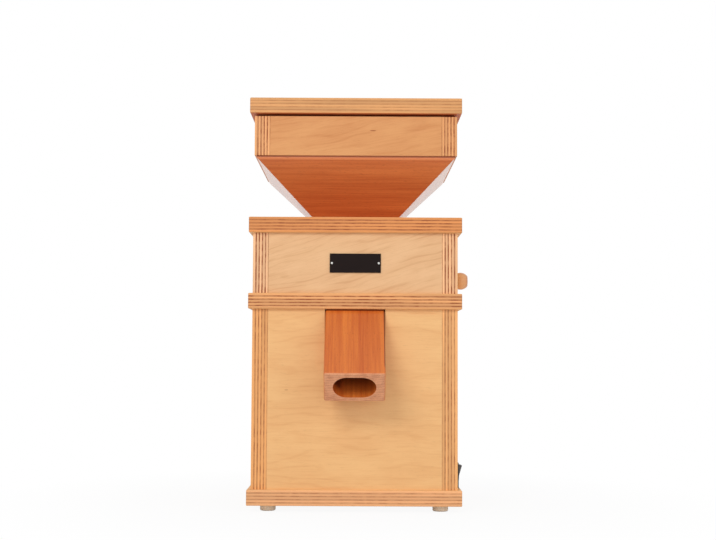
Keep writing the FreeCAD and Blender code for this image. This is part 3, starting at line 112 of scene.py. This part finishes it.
class Graph:
    """A material's node tree, with short calls for the nodes used here."""

    def __init__(self, name):
        self.material = bpy.data.materials.new(name)
        self.material.use_nodes = True
        self.tree = self.material.node_tree
        self.tree.nodes.clear()
        self.shader = self.add("ShaderNodeBsdfPrincipled")
        output = self.add("ShaderNodeOutputMaterial")
        self.tree.links.new(self.shader.outputs[0], output.inputs[0])
        self.coordinates = self.add("ShaderNodeTexCoord")
        self.place = self.vector("SCALE", self.coordinates.outputs["Object"], scale=1 / MM)
        self.normal = self.coordinates.outputs["Normal"]

    def add(self, kind, **settings):
        node = self.tree.nodes.new(kind)
        for name, value in settings.items():
            setattr(node, name, value)
        return node

    def feed(self, socket, value):
        if isinstance(value, bpy.types.NodeSocket):
            self.tree.links.new(value, socket)
        else:
            socket.default_value = value

    def math(self, operation, *values, clamp=False):
        node = self.add("ShaderNodeMath", operation=operation, use_clamp=clamp)
        for socket, value in zip(node.inputs, values):
            self.feed(socket, value)
        return node.outputs[0]

    def plus(self, first, second, clamp=False):
        return self.math("ADD", first, second, clamp=clamp)

    def minus(self, first, second):
        return self.math("SUBTRACT", first, second)

    def times(self, first, second):
        return self.math("MULTIPLY", first, second)

    def vector(self, operation, first, second=None, scale=None):
        node = self.add("ShaderNodeVectorMath", operation=operation)
        self.feed(node.inputs[0], first)
        if second is not None:
            self.feed(node.inputs[1], second)
        if scale is not None:
            node.inputs["Scale"].default_value = scale
        return node.outputs["Vector"]

    def absolute(self, value):
        return self.math("ABSOLUTE", value)

    def split(self, vector):
        node = self.add("ShaderNodeSeparateXYZ")
        self.feed(node.inputs[0], vector)
        return node.outputs

    def turned(self, vector, axis, angle):
        """The coordinates seen in a frame turned about one axis."""
        node = self.add("ShaderNodeVectorRotate", rotation_type="AXIS_ANGLE")
        self.feed(node.inputs["Vector"], vector)
        node.inputs["Axis"].default_value = axis
        node.inputs["Angle"].default_value = angle
        return node.outputs[0]

    def noise(self, vector, detail=2.0, rough=0.5):
        node = self.add("ShaderNodeTexNoise")
        self.feed(node.inputs["Vector"], vector)
        node.inputs["Scale"].default_value = 1.0
        node.inputs["Detail"].default_value = detail
        node.inputs["Roughness"].default_value = rough
        return node.outputs["Fac"]

    def grains(self, place, size, detail=2.0, rough=0.5):
        """A noise of the same grain size, in millimetres, along every axis."""
        return self.noise(self.vector("SCALE", place, scale=1 / size), detail, rough)

    def smooth(self, value, low, high):
        """0 below low, 1 above high, eased between."""
        node = self.add("ShaderNodeMapRange", interpolation_type="SMOOTHSTEP")
        self.feed(node.inputs["Value"], value)
        node.inputs["From Min"].default_value = low
        node.inputs["From Max"].default_value = high
        return node.outputs[0]

    def mix(self, factor, first, second):
        node = self.add("ShaderNodeMix", data_type="RGBA")
        self.feed(node.inputs[0], factor)
        self.feed(node.inputs[6], first)
        self.feed(node.inputs[7], second)
        return node.outputs[2]

    def tinge(self, tint, mask, share, other):
        """The tint with a share of another colour where the mask is 1."""
        return self.mix(self.times(mask, share), tint, other)

    def bump(self, height, distance, strength):
        node = self.add("ShaderNodeBump")
        node.inputs["Strength"].default_value = strength
        node.inputs["Distance"].default_value = distance * MM
        self.feed(node.inputs["Height"], height)
        self.feed(self.shader.inputs["Normal"], node.outputs[0])

    def finish(self, tint, roughness, specular=0.5):
        self.feed(self.shader.inputs["Base Color"], tint)
        self.feed(self.shader.inputs["Roughness"], roughness)
        self.shader.inputs["Specular IOR Level"].default_value = specular
        return self.material


def stretched(graph, place, along, length, width, offset=0.0):
    """Coordinates for a noise whose grains are long along one axis and thin across it."""
    scales = [1 / width] * 3
    scales[along] = 1 / length
    moved = graph.vector("ADD", place, (offset, offset * 1.7, offset * 2.3))
    return graph.vector("MULTIPLY", moved, tuple(scales))


def facing(graph, axis, low=0.6, high=0.8, normal=None):
    """1 where the surface faces along an axis, either way."""
    part = graph.split(graph.normal if normal is None else normal)[axis]
    return graph.smooth(graph.absolute(part), low, high)


def veneer(graph, place, along, across, pale, deep, offset, line_pitch=9.0, line_depth=0.3):
    """A sliced face: soft clouds, wandering growth lines and fine short pores."""
    drift = graph.noise(stretched(graph, place, along, 90, 26, offset), detail=2)
    cloud = graph.noise(stretched(graph, place, along, 55, 14, offset + 3), detail=3, rough=0.55)
    grain = graph.noise(stretched(graph, place, along, 26, 1.1, offset + 7), detail=3, rough=0.6)
    pores = graph.noise(stretched(graph, place, along, 5.5, 0.5, offset + 11), detail=1)
    line_place = graph.plus(graph.math("DIVIDE", graph.split(place)[across], line_pitch),
                            graph.times(drift, 5.0))
    line = graph.math("SINE", graph.times(line_place, 2 * math.pi))
    line = graph.times(graph.smooth(line, 0.45, 1.0), graph.smooth(cloud, 0.38, 0.62))
    amount = graph.times(graph.smooth(cloud, 0.3, 0.72), 0.45)
    amount = graph.plus(amount, graph.times(line, line_depth))
    amount = graph.plus(amount, graph.times(graph.smooth(grain, 0.46, 0.72), 0.3))
    tint = graph.mix(graph.math("MINIMUM", amount, 1.0), colour(pale), colour(deep))
    tint = graph.tinge(tint, graph.smooth(pores, 0.62, 0.78), 0.2, shaded(deep, 0.84))
    return tint, grain, pores


def fleck(graph, tint, across, across_half, up, up_half, strength):
    """A small dark mark on a front panel, at its place in x and z."""
    parts = graph.split(graph.place)
    side = graph.math("DIVIDE", graph.minus(parts[X_AXIS], across), across_half)
    rise = graph.math("DIVIDE", graph.minus(parts[Z_AXIS], up), up_half)
    far = graph.plus(graph.times(side, side), graph.times(rise, rise))
    near = graph.minus(1.0, graph.smooth(far, 0.2, 1.0))
    return graph.tinge(tint, near, strength, colour(EDGE_DARK_AND_SHADE))


def ply_edge(graph, thick_axis, low, pale, offset, bold, joint):
    """Cut layers of a board: pale long-grain plies and thin dark cross plies."""
    place = graph.place
    level = graph.minus(graph.split(place)[thick_axis], low)
    wander = graph.grains(place, 17, detail=1)
    depth = graph.plus(level, graph.times(graph.minus(wander, 0.5), 0.5))
    reach = graph.math("PINGPONG", depth, PLY_PITCH / 2)
    tone = graph.grains(place, 9, detail=3, rough=0.6)
    line = graph.minus(1.0, graph.smooth(reach, PLY_LINE, PLY_LINE + PLY_SOFT))
    inside = graph.times(
        graph.smooth(depth, OUTER_PLY, OUTER_PLY + PLY_SOFT),
        graph.smooth(graph.minus(BOARD_THICK, depth), OUTER_PLY, OUTER_PLY + PLY_SOFT))
    strength = graph.plus(0.5 * bold, graph.times(graph.smooth(tone, 0.35, 0.7), 0.5 * bold))
    line = graph.times(line, inside)
    if joint:
        end = BOARD_THICK if joint > 0 else 0.0
        seam = graph.absolute(graph.minus(level, end))
        seam = graph.minus(1.0, graph.smooth(seam, JOINT_LINE - JOINT_SOFT, JOINT_LINE))
        line = graph.math("MAXIMUM", line, graph.times(seam, 0.85))
    line = graph.times(line, strength)
    scales = [1 / 7] * 3
    scales[thick_axis] = 1 / 0.35
    fibre = graph.noise(graph.vector("MULTIPLY", place, tuple(scales)), detail=3, rough=0.65)
    speck = graph.grains(place, 0.8, detail=1)
    layer = graph.noise(stretched(graph, place, thick_axis, 3, 160, offset), detail=1)
    tint = graph.mix(graph.smooth(layer, 0.35, 0.65), colour(pale), shaded(pale, 0.9))
    tint = graph.tinge(tint, graph.smooth(fibre, 0.5, 0.75), 0.35, shaded(pale, 0.84))
    tint = graph.tinge(tint, graph.smooth(speck, 0.6, 0.75), 0.18, shaded(pale, 0.78))
    return graph.mix(line, tint, colour(EDGE_DARK_AND_SHADE)), line


def board_material(node, thick_axis, along, across, pale=FRONT_PALE, deep=FRONT_DEEP,
                   edge=EDGE_PALE, offset=0.0, tilt=None, line_pitch=9.0, line_depth=0.3,
                   bold=0.9, joint=0, marks=(), under=None):
    """One board: veneer on its two faces, ply lines round its edges.

    The figure runs along one axis and its growth lines follow each other across another.
    bold is the strength of the dark plies. A joint of 1 draws a dark glue line at the
    board's high face, and one of -1 at its low face.
    """
    graph = Graph(node + "_finish")
    figure = graph.place
    if tilt is not None:
        figure = graph.turned(graph.place, *tilt)
    face, grain, pores = veneer(graph, figure, along, across, pale, deep, offset,
                                line_pitch, line_depth)
    for mark in marks:
        face = fleck(graph, face, *mark)
    # Painted shade: faces turned downwards take a darker colour.
    if under is not None:
        below = graph.times(graph.split(graph.normal)[Z_AXIS], -1.0)
        face = graph.mix(graph.smooth(below, 0.6, 0.8), face, colour(under))
    rim, line = ply_edge(graph, thick_axis, low_side(node, thick_axis), edge, offset, bold, joint)
    flat = facing(graph, thick_axis)
    tint = graph.mix(flat, rim, face)
    face_height = graph.minus(graph.times(grain, 0.5),
                              graph.times(graph.smooth(pores, 0.6, 0.76), 0.35))
    rim_height = graph.times(line, -0.8)
    height = graph.plus(graph.times(face_height, flat),
                        graph.times(rim_height, graph.minus(1.0, flat)))
    graph.bump(height, 0.08, 0.6)
    rough = graph.plus(0.46, graph.times(pores, 0.16))
    return graph.finish(tint, rough, 0.4)


def beech_material(node, along, pale=BEECH_PALE, deep=BEECH_DEEP, offset=0.0, turn=None,
                   end_axis=None, end_pale=END_PALE, end_deep=END_DEEP, painted_rim_level=None,
                   painted_shade=None, varnish=0.0):
    """Solid beech: straight grain with short dark flecks, and end grain where it is cut.

    turn leans the grain. The rim level places a painted highlight band on the funnel's upright rim
    and, just above it, a painted shade line under the hopper frame. A shade function, where given,
    adds a piece's painted shade.
    """
    graph = Graph(node + "_finish")
    place, normal = graph.place, graph.normal
    if turn is not None:
        place = graph.turned(place, *turn)
        normal = graph.turned(normal, *turn)
    broad = graph.noise(stretched(graph, place, along, 240, 13, offset), detail=2)
    band = graph.noise(stretched(graph, place, along, 120, 3.2, offset + 5), detail=3, rough=0.6)
    fibre = graph.noise(stretched(graph, place, along, 30, 0.7, offset + 9), detail=2)
    short = graph.noise(stretched(graph, place, along, 4.2, 0.5, offset + 13), detail=1)
    amount = graph.plus(graph.times(graph.smooth(broad, 0.3, 0.7), 0.5),
                        graph.times(graph.smooth(band, 0.38, 0.68), 0.38))
    amount = graph.plus(amount, graph.times(graph.smooth(fibre, 0.4, 0.7), 0.22))
    tint = graph.mix(graph.math("MINIMUM", amount, 1.0), colour(pale), colour(deep))
    if painted_rim_level is not None:
        # Painted light and shade: a lighter band on the upright rim, and a dark line above it where
        # the hopper frame shades the funnel.
        level = graph.split(place)[Z_AXIS]
        rim = graph.smooth(level, painted_rim_level - 2.2, painted_rim_level - 1.2)
        tint = graph.tinge(tint, rim, 0.85, colour(RIM_HIGHLIGHT))
        seam = graph.smooth(level, painted_rim_level + 0.1, painted_rim_level + 0.5)
        tint = graph.tinge(tint, seam, 0.85, colour(EDGE_DARK_AND_SHADE))
    dash = graph.smooth(short, 0.6, 0.74)
    tint = graph.tinge(tint, dash, 0.4, shaded(deep, 0.72))
    height = graph.minus(graph.times(fibre, 0.6), graph.times(dash, 0.4))
    if end_axis is not None:
        parts = graph.split(place)
        first, second = [parts[axis] for axis in range(3) if axis != end_axis]
        rings = graph.plus(graph.times(first, 0.03), graph.times(second, 0.34))
        bend = graph.grains(place, 24, detail=2)
        rings = graph.plus(rings, graph.times(bend, 2.4))
        rings = graph.math("SINE", graph.times(rings, 2 * math.pi))
        dots = graph.grains(place, 0.75, detail=2, rough=0.7)
        patch = graph.grains(place, 7, detail=2)
        blend = graph.plus(graph.times(graph.smooth(rings, 0.0, 1.0), 0.35),
                           graph.times(graph.smooth(dots, 0.4, 0.66), 0.45))
        blend = graph.plus(blend, graph.times(graph.smooth(patch, 0.4, 0.7), 0.45), clamp=True)
        end_tint = graph.mix(blend, colour(end_pale), colour(end_deep))
        cut = facing(graph, end_axis, 0.3, 0.97, normal)
        tint = graph.mix(cut, tint, end_tint)
        height = graph.plus(graph.times(height, graph.minus(1.0, cut)),
                            graph.times(graph.times(dots, -1.6), cut))
    # A piece's painted shade, where given.
    if painted_shade is not None:
        tint = painted_shade(graph, place, tint)
    graph.bump(height, 0.08, 0.6)
    graph.shader.inputs["Coat Weight"].default_value = varnish
    graph.shader.inputs["Coat Roughness"].default_value = 0.1
    rough = graph.plus(0.3, graph.times(short, 0.16))
    return graph.finish(tint, rough, 0.5)


def spout_painted_shade(graph, place, tint):
    """Painted shade on the spout: deep in its channel, under the board above it and down its right
    edge.
    """
    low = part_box("spout")[0]
    root = math.sqrt(0.5)
    middle = (low[Y_AXIS] - low[Z_AXIS]) * root / MM
    end = (low[Y_AXIS] + low[Z_AXIS]) * root / MM + SPOUT_THICK / 2
    # Painted shade: the channel's walls grow darker with the depth from its mouth.
    parts = graph.split(place)
    across = graph.minus(CHANNEL_WIDE / 2, graph.absolute(parts[X_AXIS]))
    thick = graph.minus(CHANNEL_HIGH / 2, graph.absolute(graph.minus(parts[Y_AXIS], middle)))
    within = graph.smooth(graph.math("MINIMUM", across, thick), -0.6, -0.4)
    along = graph.minus(parts[Z_AXIS], end)
    depth = graph.times(within, graph.smooth(along, 1.0, 26.0))
    tint = graph.tinge(tint, depth, 0.75, colour(CHANNEL_SHADE))
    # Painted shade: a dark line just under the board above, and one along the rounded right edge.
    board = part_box("middle_board")[0][Z_AXIS] / MM
    under = graph.smooth(graph.split(graph.place)[Z_AXIS], board - 2.0, board - 1.0)
    side = graph.split(graph.normal)[X_AXIS]
    edge = graph.minus(graph.smooth(side, 0.3, 0.6), graph.smooth(side, 0.93, 0.99))
    edge = graph.times(edge, graph.smooth(along, 6.0, 12.0))
    return graph.tinge(tint, graph.math("MAXIMUM", under, edge), 0.85, colour(CHANNEL_SHADE))


def metal_material(name, tint, roughness, brush_axis=None, grain=0.25):
    """A bare metal with fine machining marks or a cast skin."""
    graph = Graph(name)
    if brush_axis is None:
        marks = graph.grains(graph.place, 0.9, detail=3, rough=0.6)
    else:
        marks = graph.noise(stretched(graph, graph.place, brush_axis, 30, 0.25), detail=2)
    wide = graph.grains(graph.place, 22, detail=2)
    mixed = graph.tinge(colour(tint), graph.smooth(marks, 0.35, 0.7), 0.6, shaded(tint, 0.82))
    rough = graph.plus(roughness, graph.times(wide, 0.14))
    graph.shader.inputs["Metallic"].default_value = 1.0
    graph.bump(marks, 0.05, grain)
    return graph.finish(mixed, rough)


def plastic_material(name, tint, roughness, grain=0.5, coat=0.0, specular=0.5):
    """Moulded plastic: a fine spark-eroded skin with a little unevenness in its gloss."""
    graph = Graph(name)
    skin = graph.grains(graph.place, 0.35, detail=2)
    wide = graph.grains(graph.place, 14, detail=2)
    mixed = graph.tinge(colour(tint), graph.smooth(wide, 0.3, 0.7), 0.5, shaded(tint, 0.88))
    graph.bump(skin, 0.04, grain)
    graph.shader.inputs["Coat Weight"].default_value = coat
    graph.shader.inputs["Coat Roughness"].default_value = 0.12
    rough = graph.plus(roughness, graph.times(wide, 0.1))
    return graph.finish(mixed, rough, specular)


def stone_material(name):
    """Bonded grit: pale body, dark and light grains."""
    graph = Graph(name)
    coarse = graph.grains(graph.place, 1.1, detail=3, rough=0.7)
    grit = graph.add("ShaderNodeTexVoronoi")
    graph.feed(grit.inputs["Vector"], graph.place)
    grit.inputs["Scale"].default_value = 0.9
    tint = graph.mix(graph.smooth(coarse, 0.35, 0.7), colour(STONE_PALE), colour(STONE_DEEP))
    grit = graph.smooth(grit.outputs["Distance"], 0.5, 0.2)
    tint = graph.tinge(tint, grit, 0.35, colour(STONE_GRIT))
    graph.bump(coarse, 0.3, 0.9)
    return graph.finish(tint, 0.92, 0.2)


def winding_material(name):
    """Varnished copper wire laid round the core."""
    graph = Graph(name)
    parts = graph.split(graph.place)
    across, deep, level = parts[X_AXIS], parts[Y_AXIS], parts[Z_AXIS]
    radius = graph.math("SQRT", graph.plus(graph.times(across, across), graph.times(deep, deep)))
    wire = graph.math("SINE", graph.times(graph.plus(radius, level), 7.0))
    tint = graph.mix(graph.smooth(wire, -0.6, 0.8), colour(COPPER_DEEP), colour(COPPER_PALE))
    graph.shader.inputs["Metallic"].default_value = 0.7
    graph.bump(wire, 0.25, 0.8)
    return graph.finish(tint, 0.35)


def soften(node, width):
    """Ease a node's sharp edges without moving its vertices."""
    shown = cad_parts[node]
    weld = shown.modifiers.new("weld", "WELD")
    weld.merge_threshold = 0.00001
    bevel = shown.modifiers.new("bevel", "BEVEL")
    bevel.width = width * MM
    bevel.segments = 2
    bevel.limit_method = "ANGLE"
    bevel.angle_limit = math.radians(38)
    bevel.harden_normals = False
    shading = shown.modifiers.new("shading", "WEIGHTED_NORMAL")
    shading.keep_sharp = True


def dress(node, material, ease=None):
    """Give a CAD node its finish, and eased edges where it has them."""
    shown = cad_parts[node]
    shown.data.materials.clear()
    shown.data.materials.append(material)
    if ease:
        soften(node, ease)


# Small dark marks in the veneer: middle and half width in x, middle and half height in z, strength.
MARKS = {"lower_front": [(-65.0, 2.2, 115.0, 0.9, 0.3)],
         "hopper_front": [(16.5, 3.6, 364.3, 0.7, 0.75)]}

# The level, in millimetres, where the painted shade line under the hopper frame begins on the
# funnel; the painted highlight band on the rim lies just below it.
FUNNEL_SHADE_LINE = 338.0

# The slope of the spout, about X, and the drift of two front panels' figure, about Y.
SPOUT_TURN = ((1.0, 0.0, 0.0), math.radians(45))
UPPER_TILT = ((0.0, 1.0, 0.0), math.radians(17))
HOPPER_TILT = ((0.0, 1.0, 0.0), math.radians(11))

# Rounding of the panels' edges, in millimetres.
PANEL_EASE = 0.25


def dress_boards():
    """Horizontal boards show their plies all round."""
    # Each board's edge colour, strength of the dark plies, place in the noise, and the colour of
    # painted shade on its underside.
    boards = [("base_board", (248, 184, 128), 0.55, 1.0, None),
              ("middle_board", (238, 170, 108), 1.0, 21.0, None),
              ("deck_board", (230, 150, 84), 0.95, 43.0, None),
              ("lid_board", (226, 163, 102), 0.45, 67.0, LID_UNDER_SHADE)]
    for node, edge, bold, offset, under in boards:
        dress(node, board_material(node, Z_AXIS, X_AXIS, Y_AXIS, edge=edge, offset=offset,
                                   line_pitch=13.0, bold=bold, under=under))
    # The locator's dark edge colour is painted shade for the gap under the lid.
    locator = board_material("lid_locator", Z_AXIS, X_AXIS, Y_AXIS, edge=LOCATOR_EDGE_SHADE, offset=71.0)
    dress("lid_locator", locator, PANEL_EASE)


def dress_panels():
    """Side panels show their plies in front; front and rear panels show only veneer."""
    # Each side's glue joint, edge colour and strength of the dark plies.
    sides = [("lower_side_left", 1, (242, 174, 106), 0.8),
             ("lower_side_right", -1, (246, 182, 116), 0.75),
             ("upper_side_left", 1, (250, 196, 146), 1.2),
             ("upper_side_right", -1, (250, 194, 142), 1.15),
             ("hopper_left", 1, (240, 172, 112), 1.1),
             ("hopper_right", -1, (238, 168, 106), 1.1)]
    for index, (node, joint, edge, bold) in enumerate(sides):
        material = board_material(node, X_AXIS, Y_AXIS, Z_AXIS, edge=edge,
                                  offset=90.0 + index * 17, bold=bold, joint=joint)
        dress(node, material, PANEL_EASE)
    for index, node in enumerate(("lower_front", "lower_back", "upper_back")):
        material = board_material(node, Y_AXIS, X_AXIS, Z_AXIS, LOWER_PALE, LOWER_DEEP,
                                  offset=230.0 + index * 19, marks=MARKS.get(node, ()))
        dress(node, material, PANEL_EASE)
    material = board_material("upper_front", Y_AXIS, X_AXIS, Z_AXIS, UPPER_PALE, UPPER_DEEP,
                              offset=310.0, tilt=UPPER_TILT, line_pitch=7.0, line_depth=0.5)
    dress("upper_front", material, PANEL_EASE)
    for index, node in enumerate(("hopper_front", "hopper_back")):
        material = board_material(node, Y_AXIS, X_AXIS, Z_AXIS, HOPPER_PALE, HOPPER_DEEP,
                                  offset=350.0 + index * 23, tilt=HOPPER_TILT,
                                  marks=MARKS.get(node, ()))
        dress(node, material, PANEL_EASE)


def dress_solid_wood():
    """Funnel, spout, feed throat, knob and feet."""
    # Each funnel board's grain, colours and varnish. The side boards' paler colours are painted
    # sheen.
    front = (X_AXIS, BEECH_PALE, BEECH_DEEP, 0.0)
    side = (Y_AXIS, FUNNEL_SIDE_SHEEN_PALE, FUNNEL_SIDE_SHEEN_DEEP, 0.55)
    funnel = [("funnel_front", front), ("funnel_back", front),
              ("funnel_left", side), ("funnel_right", side)]
    for index, (node, (along, pale, deep, varnish)) in enumerate(funnel):
        material = beech_material(node, along, pale, deep, offset=11.0 * index,
                                  painted_rim_level=FUNNEL_SHADE_LINE, varnish=varnish)
        dress(node, material, PANEL_EASE)
    dress("spout", beech_material("spout", Z_AXIS, SPOUT_PALE, SPOUT_DEEP, offset=57.0,
                                  turn=SPOUT_TURN, end_axis=Z_AXIS, painted_shade=spout_painted_shade))
    dress("feed_throat", beech_material("feed_throat", Z_AXIS, offset=63.0, end_axis=Z_AXIS))
    dress("knob", beech_material("knob", X_AXIS, KNOB_PALE, KNOB_DEEP, offset=71.0,
                                 end_axis=X_AXIS))
    dress("feet", beech_material("feet", Z_AXIS, FOOT_PALE, FOOT_DEEP, offset=83.0,
                                 end_axis=Z_AXIS, end_pale=FOOT_END_PALE,
                                 end_deep=FOOT_END_DEEP))


def dress_hardware():
    """Metal, stone and plastic pieces."""
    steel = metal_material("steel_finish", (196, 196, 192), 0.28, grain=0.15)
    bar = metal_material("bar_finish", (200, 200, 197), 0.24, brush_axis=X_AXIS, grain=0.15)
    cast = metal_material("cast_finish", (186, 187, 188), 0.45, grain=0.8)
    core = metal_material("core_finish", (96, 97, 100), 0.5, brush_axis=Z_AXIS, grain=0.5)
    stone = stone_material("stone_finish")
    copper = winding_material("winding_finish")
    plate = plastic_material("plate_finish", (27, 17, 15), 0.55, grain=0.12, specular=0.1)
    black = plastic_material("black_plastic_finish", (44, 42, 41), 0.46)
    rocker = plastic_material("rocker_finish", (70, 62, 60), 0.26, grain=0.15, coat=0.2)
    white = plastic_material("white_plastic_finish", (222, 219, 208), 0.42)
    finishes = [
        (steel, ["base_screws", "nameplate_pins", "guide_pins", "motor_pillars", "chamber_bolts",
                 "spindle_nut", "spindle", "lower_bearing", "upper_bearing", "tie_bolts",
                 "capacitor_clip"]),
        (bar, ["lever_rod"]),
        (cast, ["chamber_housing", "adjusting_ring", "stone_carrier", "runner_plate",
                "lower_shield", "upper_shield"]),
        (core, ["stator_core", "rotor"]),
        (stone, ["upper_stone", "runner_stone"]),
        (copper, ["winding_heads"]),
        (plate, ["nameplate"]),
        (black, ["switch_body", "cord_gland", "gland_nut", "cooling_fan"]),
        (rocker, ["rocker"]),
        (white, ["run_capacitor", "terminal_block"]),
    ]
    for material, nodes in finishes:
        for node in nodes:
            dress(node, material)
    soften("switch_body", 0.4)
    soften("rocker", 0.3)


# Camera: the distance, height and tilt that fit the photograph's perspective. Metres.
CAMERA_PLACE = (0.0026, -1.352, 0.1458)
CAMERA_PITCH = math.radians(3.82)
CAMERA_ROLL = math.radians(0.29)
CAMERA_LENS = 66.06

# Surroundings: the plain room's light, and the floor, whose own glow covers most of the shadow
# near the object and all of it further out. Distances in metres.
WHITE = (1, 1, 1, 1)
ROOM_LIGHT = 0.57
FLOOR_HALF = 6.0
FLOOR_GREY = (0.82, 0.82, 0.82, 1)
SHADOW_FADE = (0.14, 0.4)
SHADOW_GLOW = 0.93


def make_camera():
    data = bpy.data.cameras.new("camera")
    data.lens = CAMERA_LENS
    data.sensor_width = 36
    camera = bpy.data.objects.new("camera", data)
    bpy.context.scene.collection.objects.link(camera)
    aim = Matrix.Rotation(math.pi / 2 + CAMERA_PITCH, 4, "X") @ Matrix.Rotation(
        CAMERA_ROLL, 4, "Z")
    camera.matrix_world = Matrix.Translation(CAMERA_PLACE) @ aim
    bpy.context.scene.camera = camera


def make_lamp(name, place, target, power, width):
    data = bpy.data.lights.new(name, "AREA")
    data.energy = power
    data.shape = "RECTANGLE"
    data.size = width
    data.size_y = width * 0.8
    lamp = bpy.data.objects.new(name, data)
    bpy.context.scene.collection.objects.link(lamp)
    lamp.location = place
    lamp.rotation_mode = "QUATERNION"
    lamp.rotation_quaternion = (Vector(target) - Vector(place)).to_track_quat("-Z", "Y")


def make_lights():
    """A key light from the upper left, a fill from the right and a weak one from low in front."""
    # Place and the height aimed at in metres, power in watts, width in metres.
    lamps = [("key", (-0.8, -1.8, 1.3), 0.2, 16, 0.9),
             ("fill", (1.6, -1.5, 0.7), 0.2, 6, 1.4),
             ("low", (0.2, -1.6, 0.12), 0.1, 3, 1.0)]
    for name, place, height, power, width in lamps:
        make_lamp(name, place, (0, 0, height), power, width)


def make_world():
    """Plain pale surroundings; what the camera, gloss and glass see of them is white."""
    world = bpy.data.worlds.new("studio")
    world.use_nodes = True
    bpy.context.scene.world = world
    nodes = world.node_tree.nodes
    nodes.clear()
    links = world.node_tree.links
    output = nodes.new("ShaderNodeOutputWorld")
    plain = nodes.new("ShaderNodeBackground")
    plain.inputs[0].default_value = WHITE
    plain.inputs[1].default_value = ROOM_LIGHT
    white = nodes.new("ShaderNodeBackground")
    white.inputs[0].default_value = WHITE
    white.inputs[1].default_value = 1.0
    mixed = nodes.new("ShaderNodeMixShader")
    links.new(shown_ray(world.node_tree), mixed.inputs[0])
    links.new(plain.outputs[0], mixed.inputs[1])
    links.new(white.outputs[0], mixed.inputs[2])
    links.new(mixed.outputs[0], output.inputs[0])


def shown_ray(tree):
    """1 for rays of the camera, of gloss and of glass."""
    path = tree.nodes.new("ShaderNodeLightPath")
    total = path.outputs["Is Camera Ray"]
    for name in ("Is Glossy Ray", "Is Transmission Ray"):
        node = tree.nodes.new("ShaderNodeMath")
        node.operation = "MAXIMUM"
        tree.links.new(total, node.inputs[0])
        tree.links.new(path.outputs[name], node.inputs[1])
        total = node.outputs[0]
    return total


def make_floor():
    """A pale floor that keeps a faint shadow of the object."""
    mesh = bpy.data.meshes.new("floor")
    corners = [(side * FLOOR_HALF, deep * FLOOR_HALF, 0)
               for side, deep in ((-1, -1), (1, -1), (1, 1), (-1, 1))]
    mesh.from_pydata(corners, [], [(0, 1, 2, 3)])
    floor = bpy.data.objects.new("floor", mesh)
    bpy.context.scene.collection.objects.link(floor)
    material = bpy.data.materials.new("floor_finish")
    material.use_nodes = True
    nodes = material.node_tree.nodes
    nodes.clear()
    links = material.node_tree.links
    output = nodes.new("ShaderNodeOutputMaterial")
    matt = nodes.new("ShaderNodeBsdfDiffuse")
    matt.inputs[0].default_value = FLOOR_GREY
    glow = nodes.new("ShaderNodeEmission")
    glow.inputs[0].default_value = WHITE
    glow.inputs[1].default_value = 1.0
    spread = nodes.new("ShaderNodeVectorMath")
    spread.operation = "LENGTH"
    links.new(nodes.new("ShaderNodeTexCoord").outputs["Object"], spread.inputs[0])
    fade = nodes.new("ShaderNodeMapRange")
    fade.inputs["From Min"].default_value, fade.inputs["From Max"].default_value = SHADOW_FADE
    fade.inputs["To Min"].default_value = SHADOW_GLOW
    fade.inputs["To Max"].default_value = 1.0
    links.new(spread.outputs["Value"], fade.inputs["Value"])
    share = nodes.new("ShaderNodeMath")
    share.operation = "MULTIPLY"
    links.new(shown_ray(material.node_tree), share.inputs[0])
    links.new(fade.outputs[0], share.inputs[1])
    mixed = nodes.new("ShaderNodeMixShader")
    links.new(share.outputs[0], mixed.inputs[0])
    links.new(matt.outputs[0], mixed.inputs[1])
    links.new(glow.outputs[0], mixed.inputs[2])
    links.new(mixed.outputs[0], output.inputs[0])
    mesh.materials.append(material)


make_camera()
make_lights()
make_world()
make_floor()
dress_boards()
dress_panels()
dress_solid_wood()
dress_hardware()

bpy.context.scene.view_settings.view_transform = "Standard"
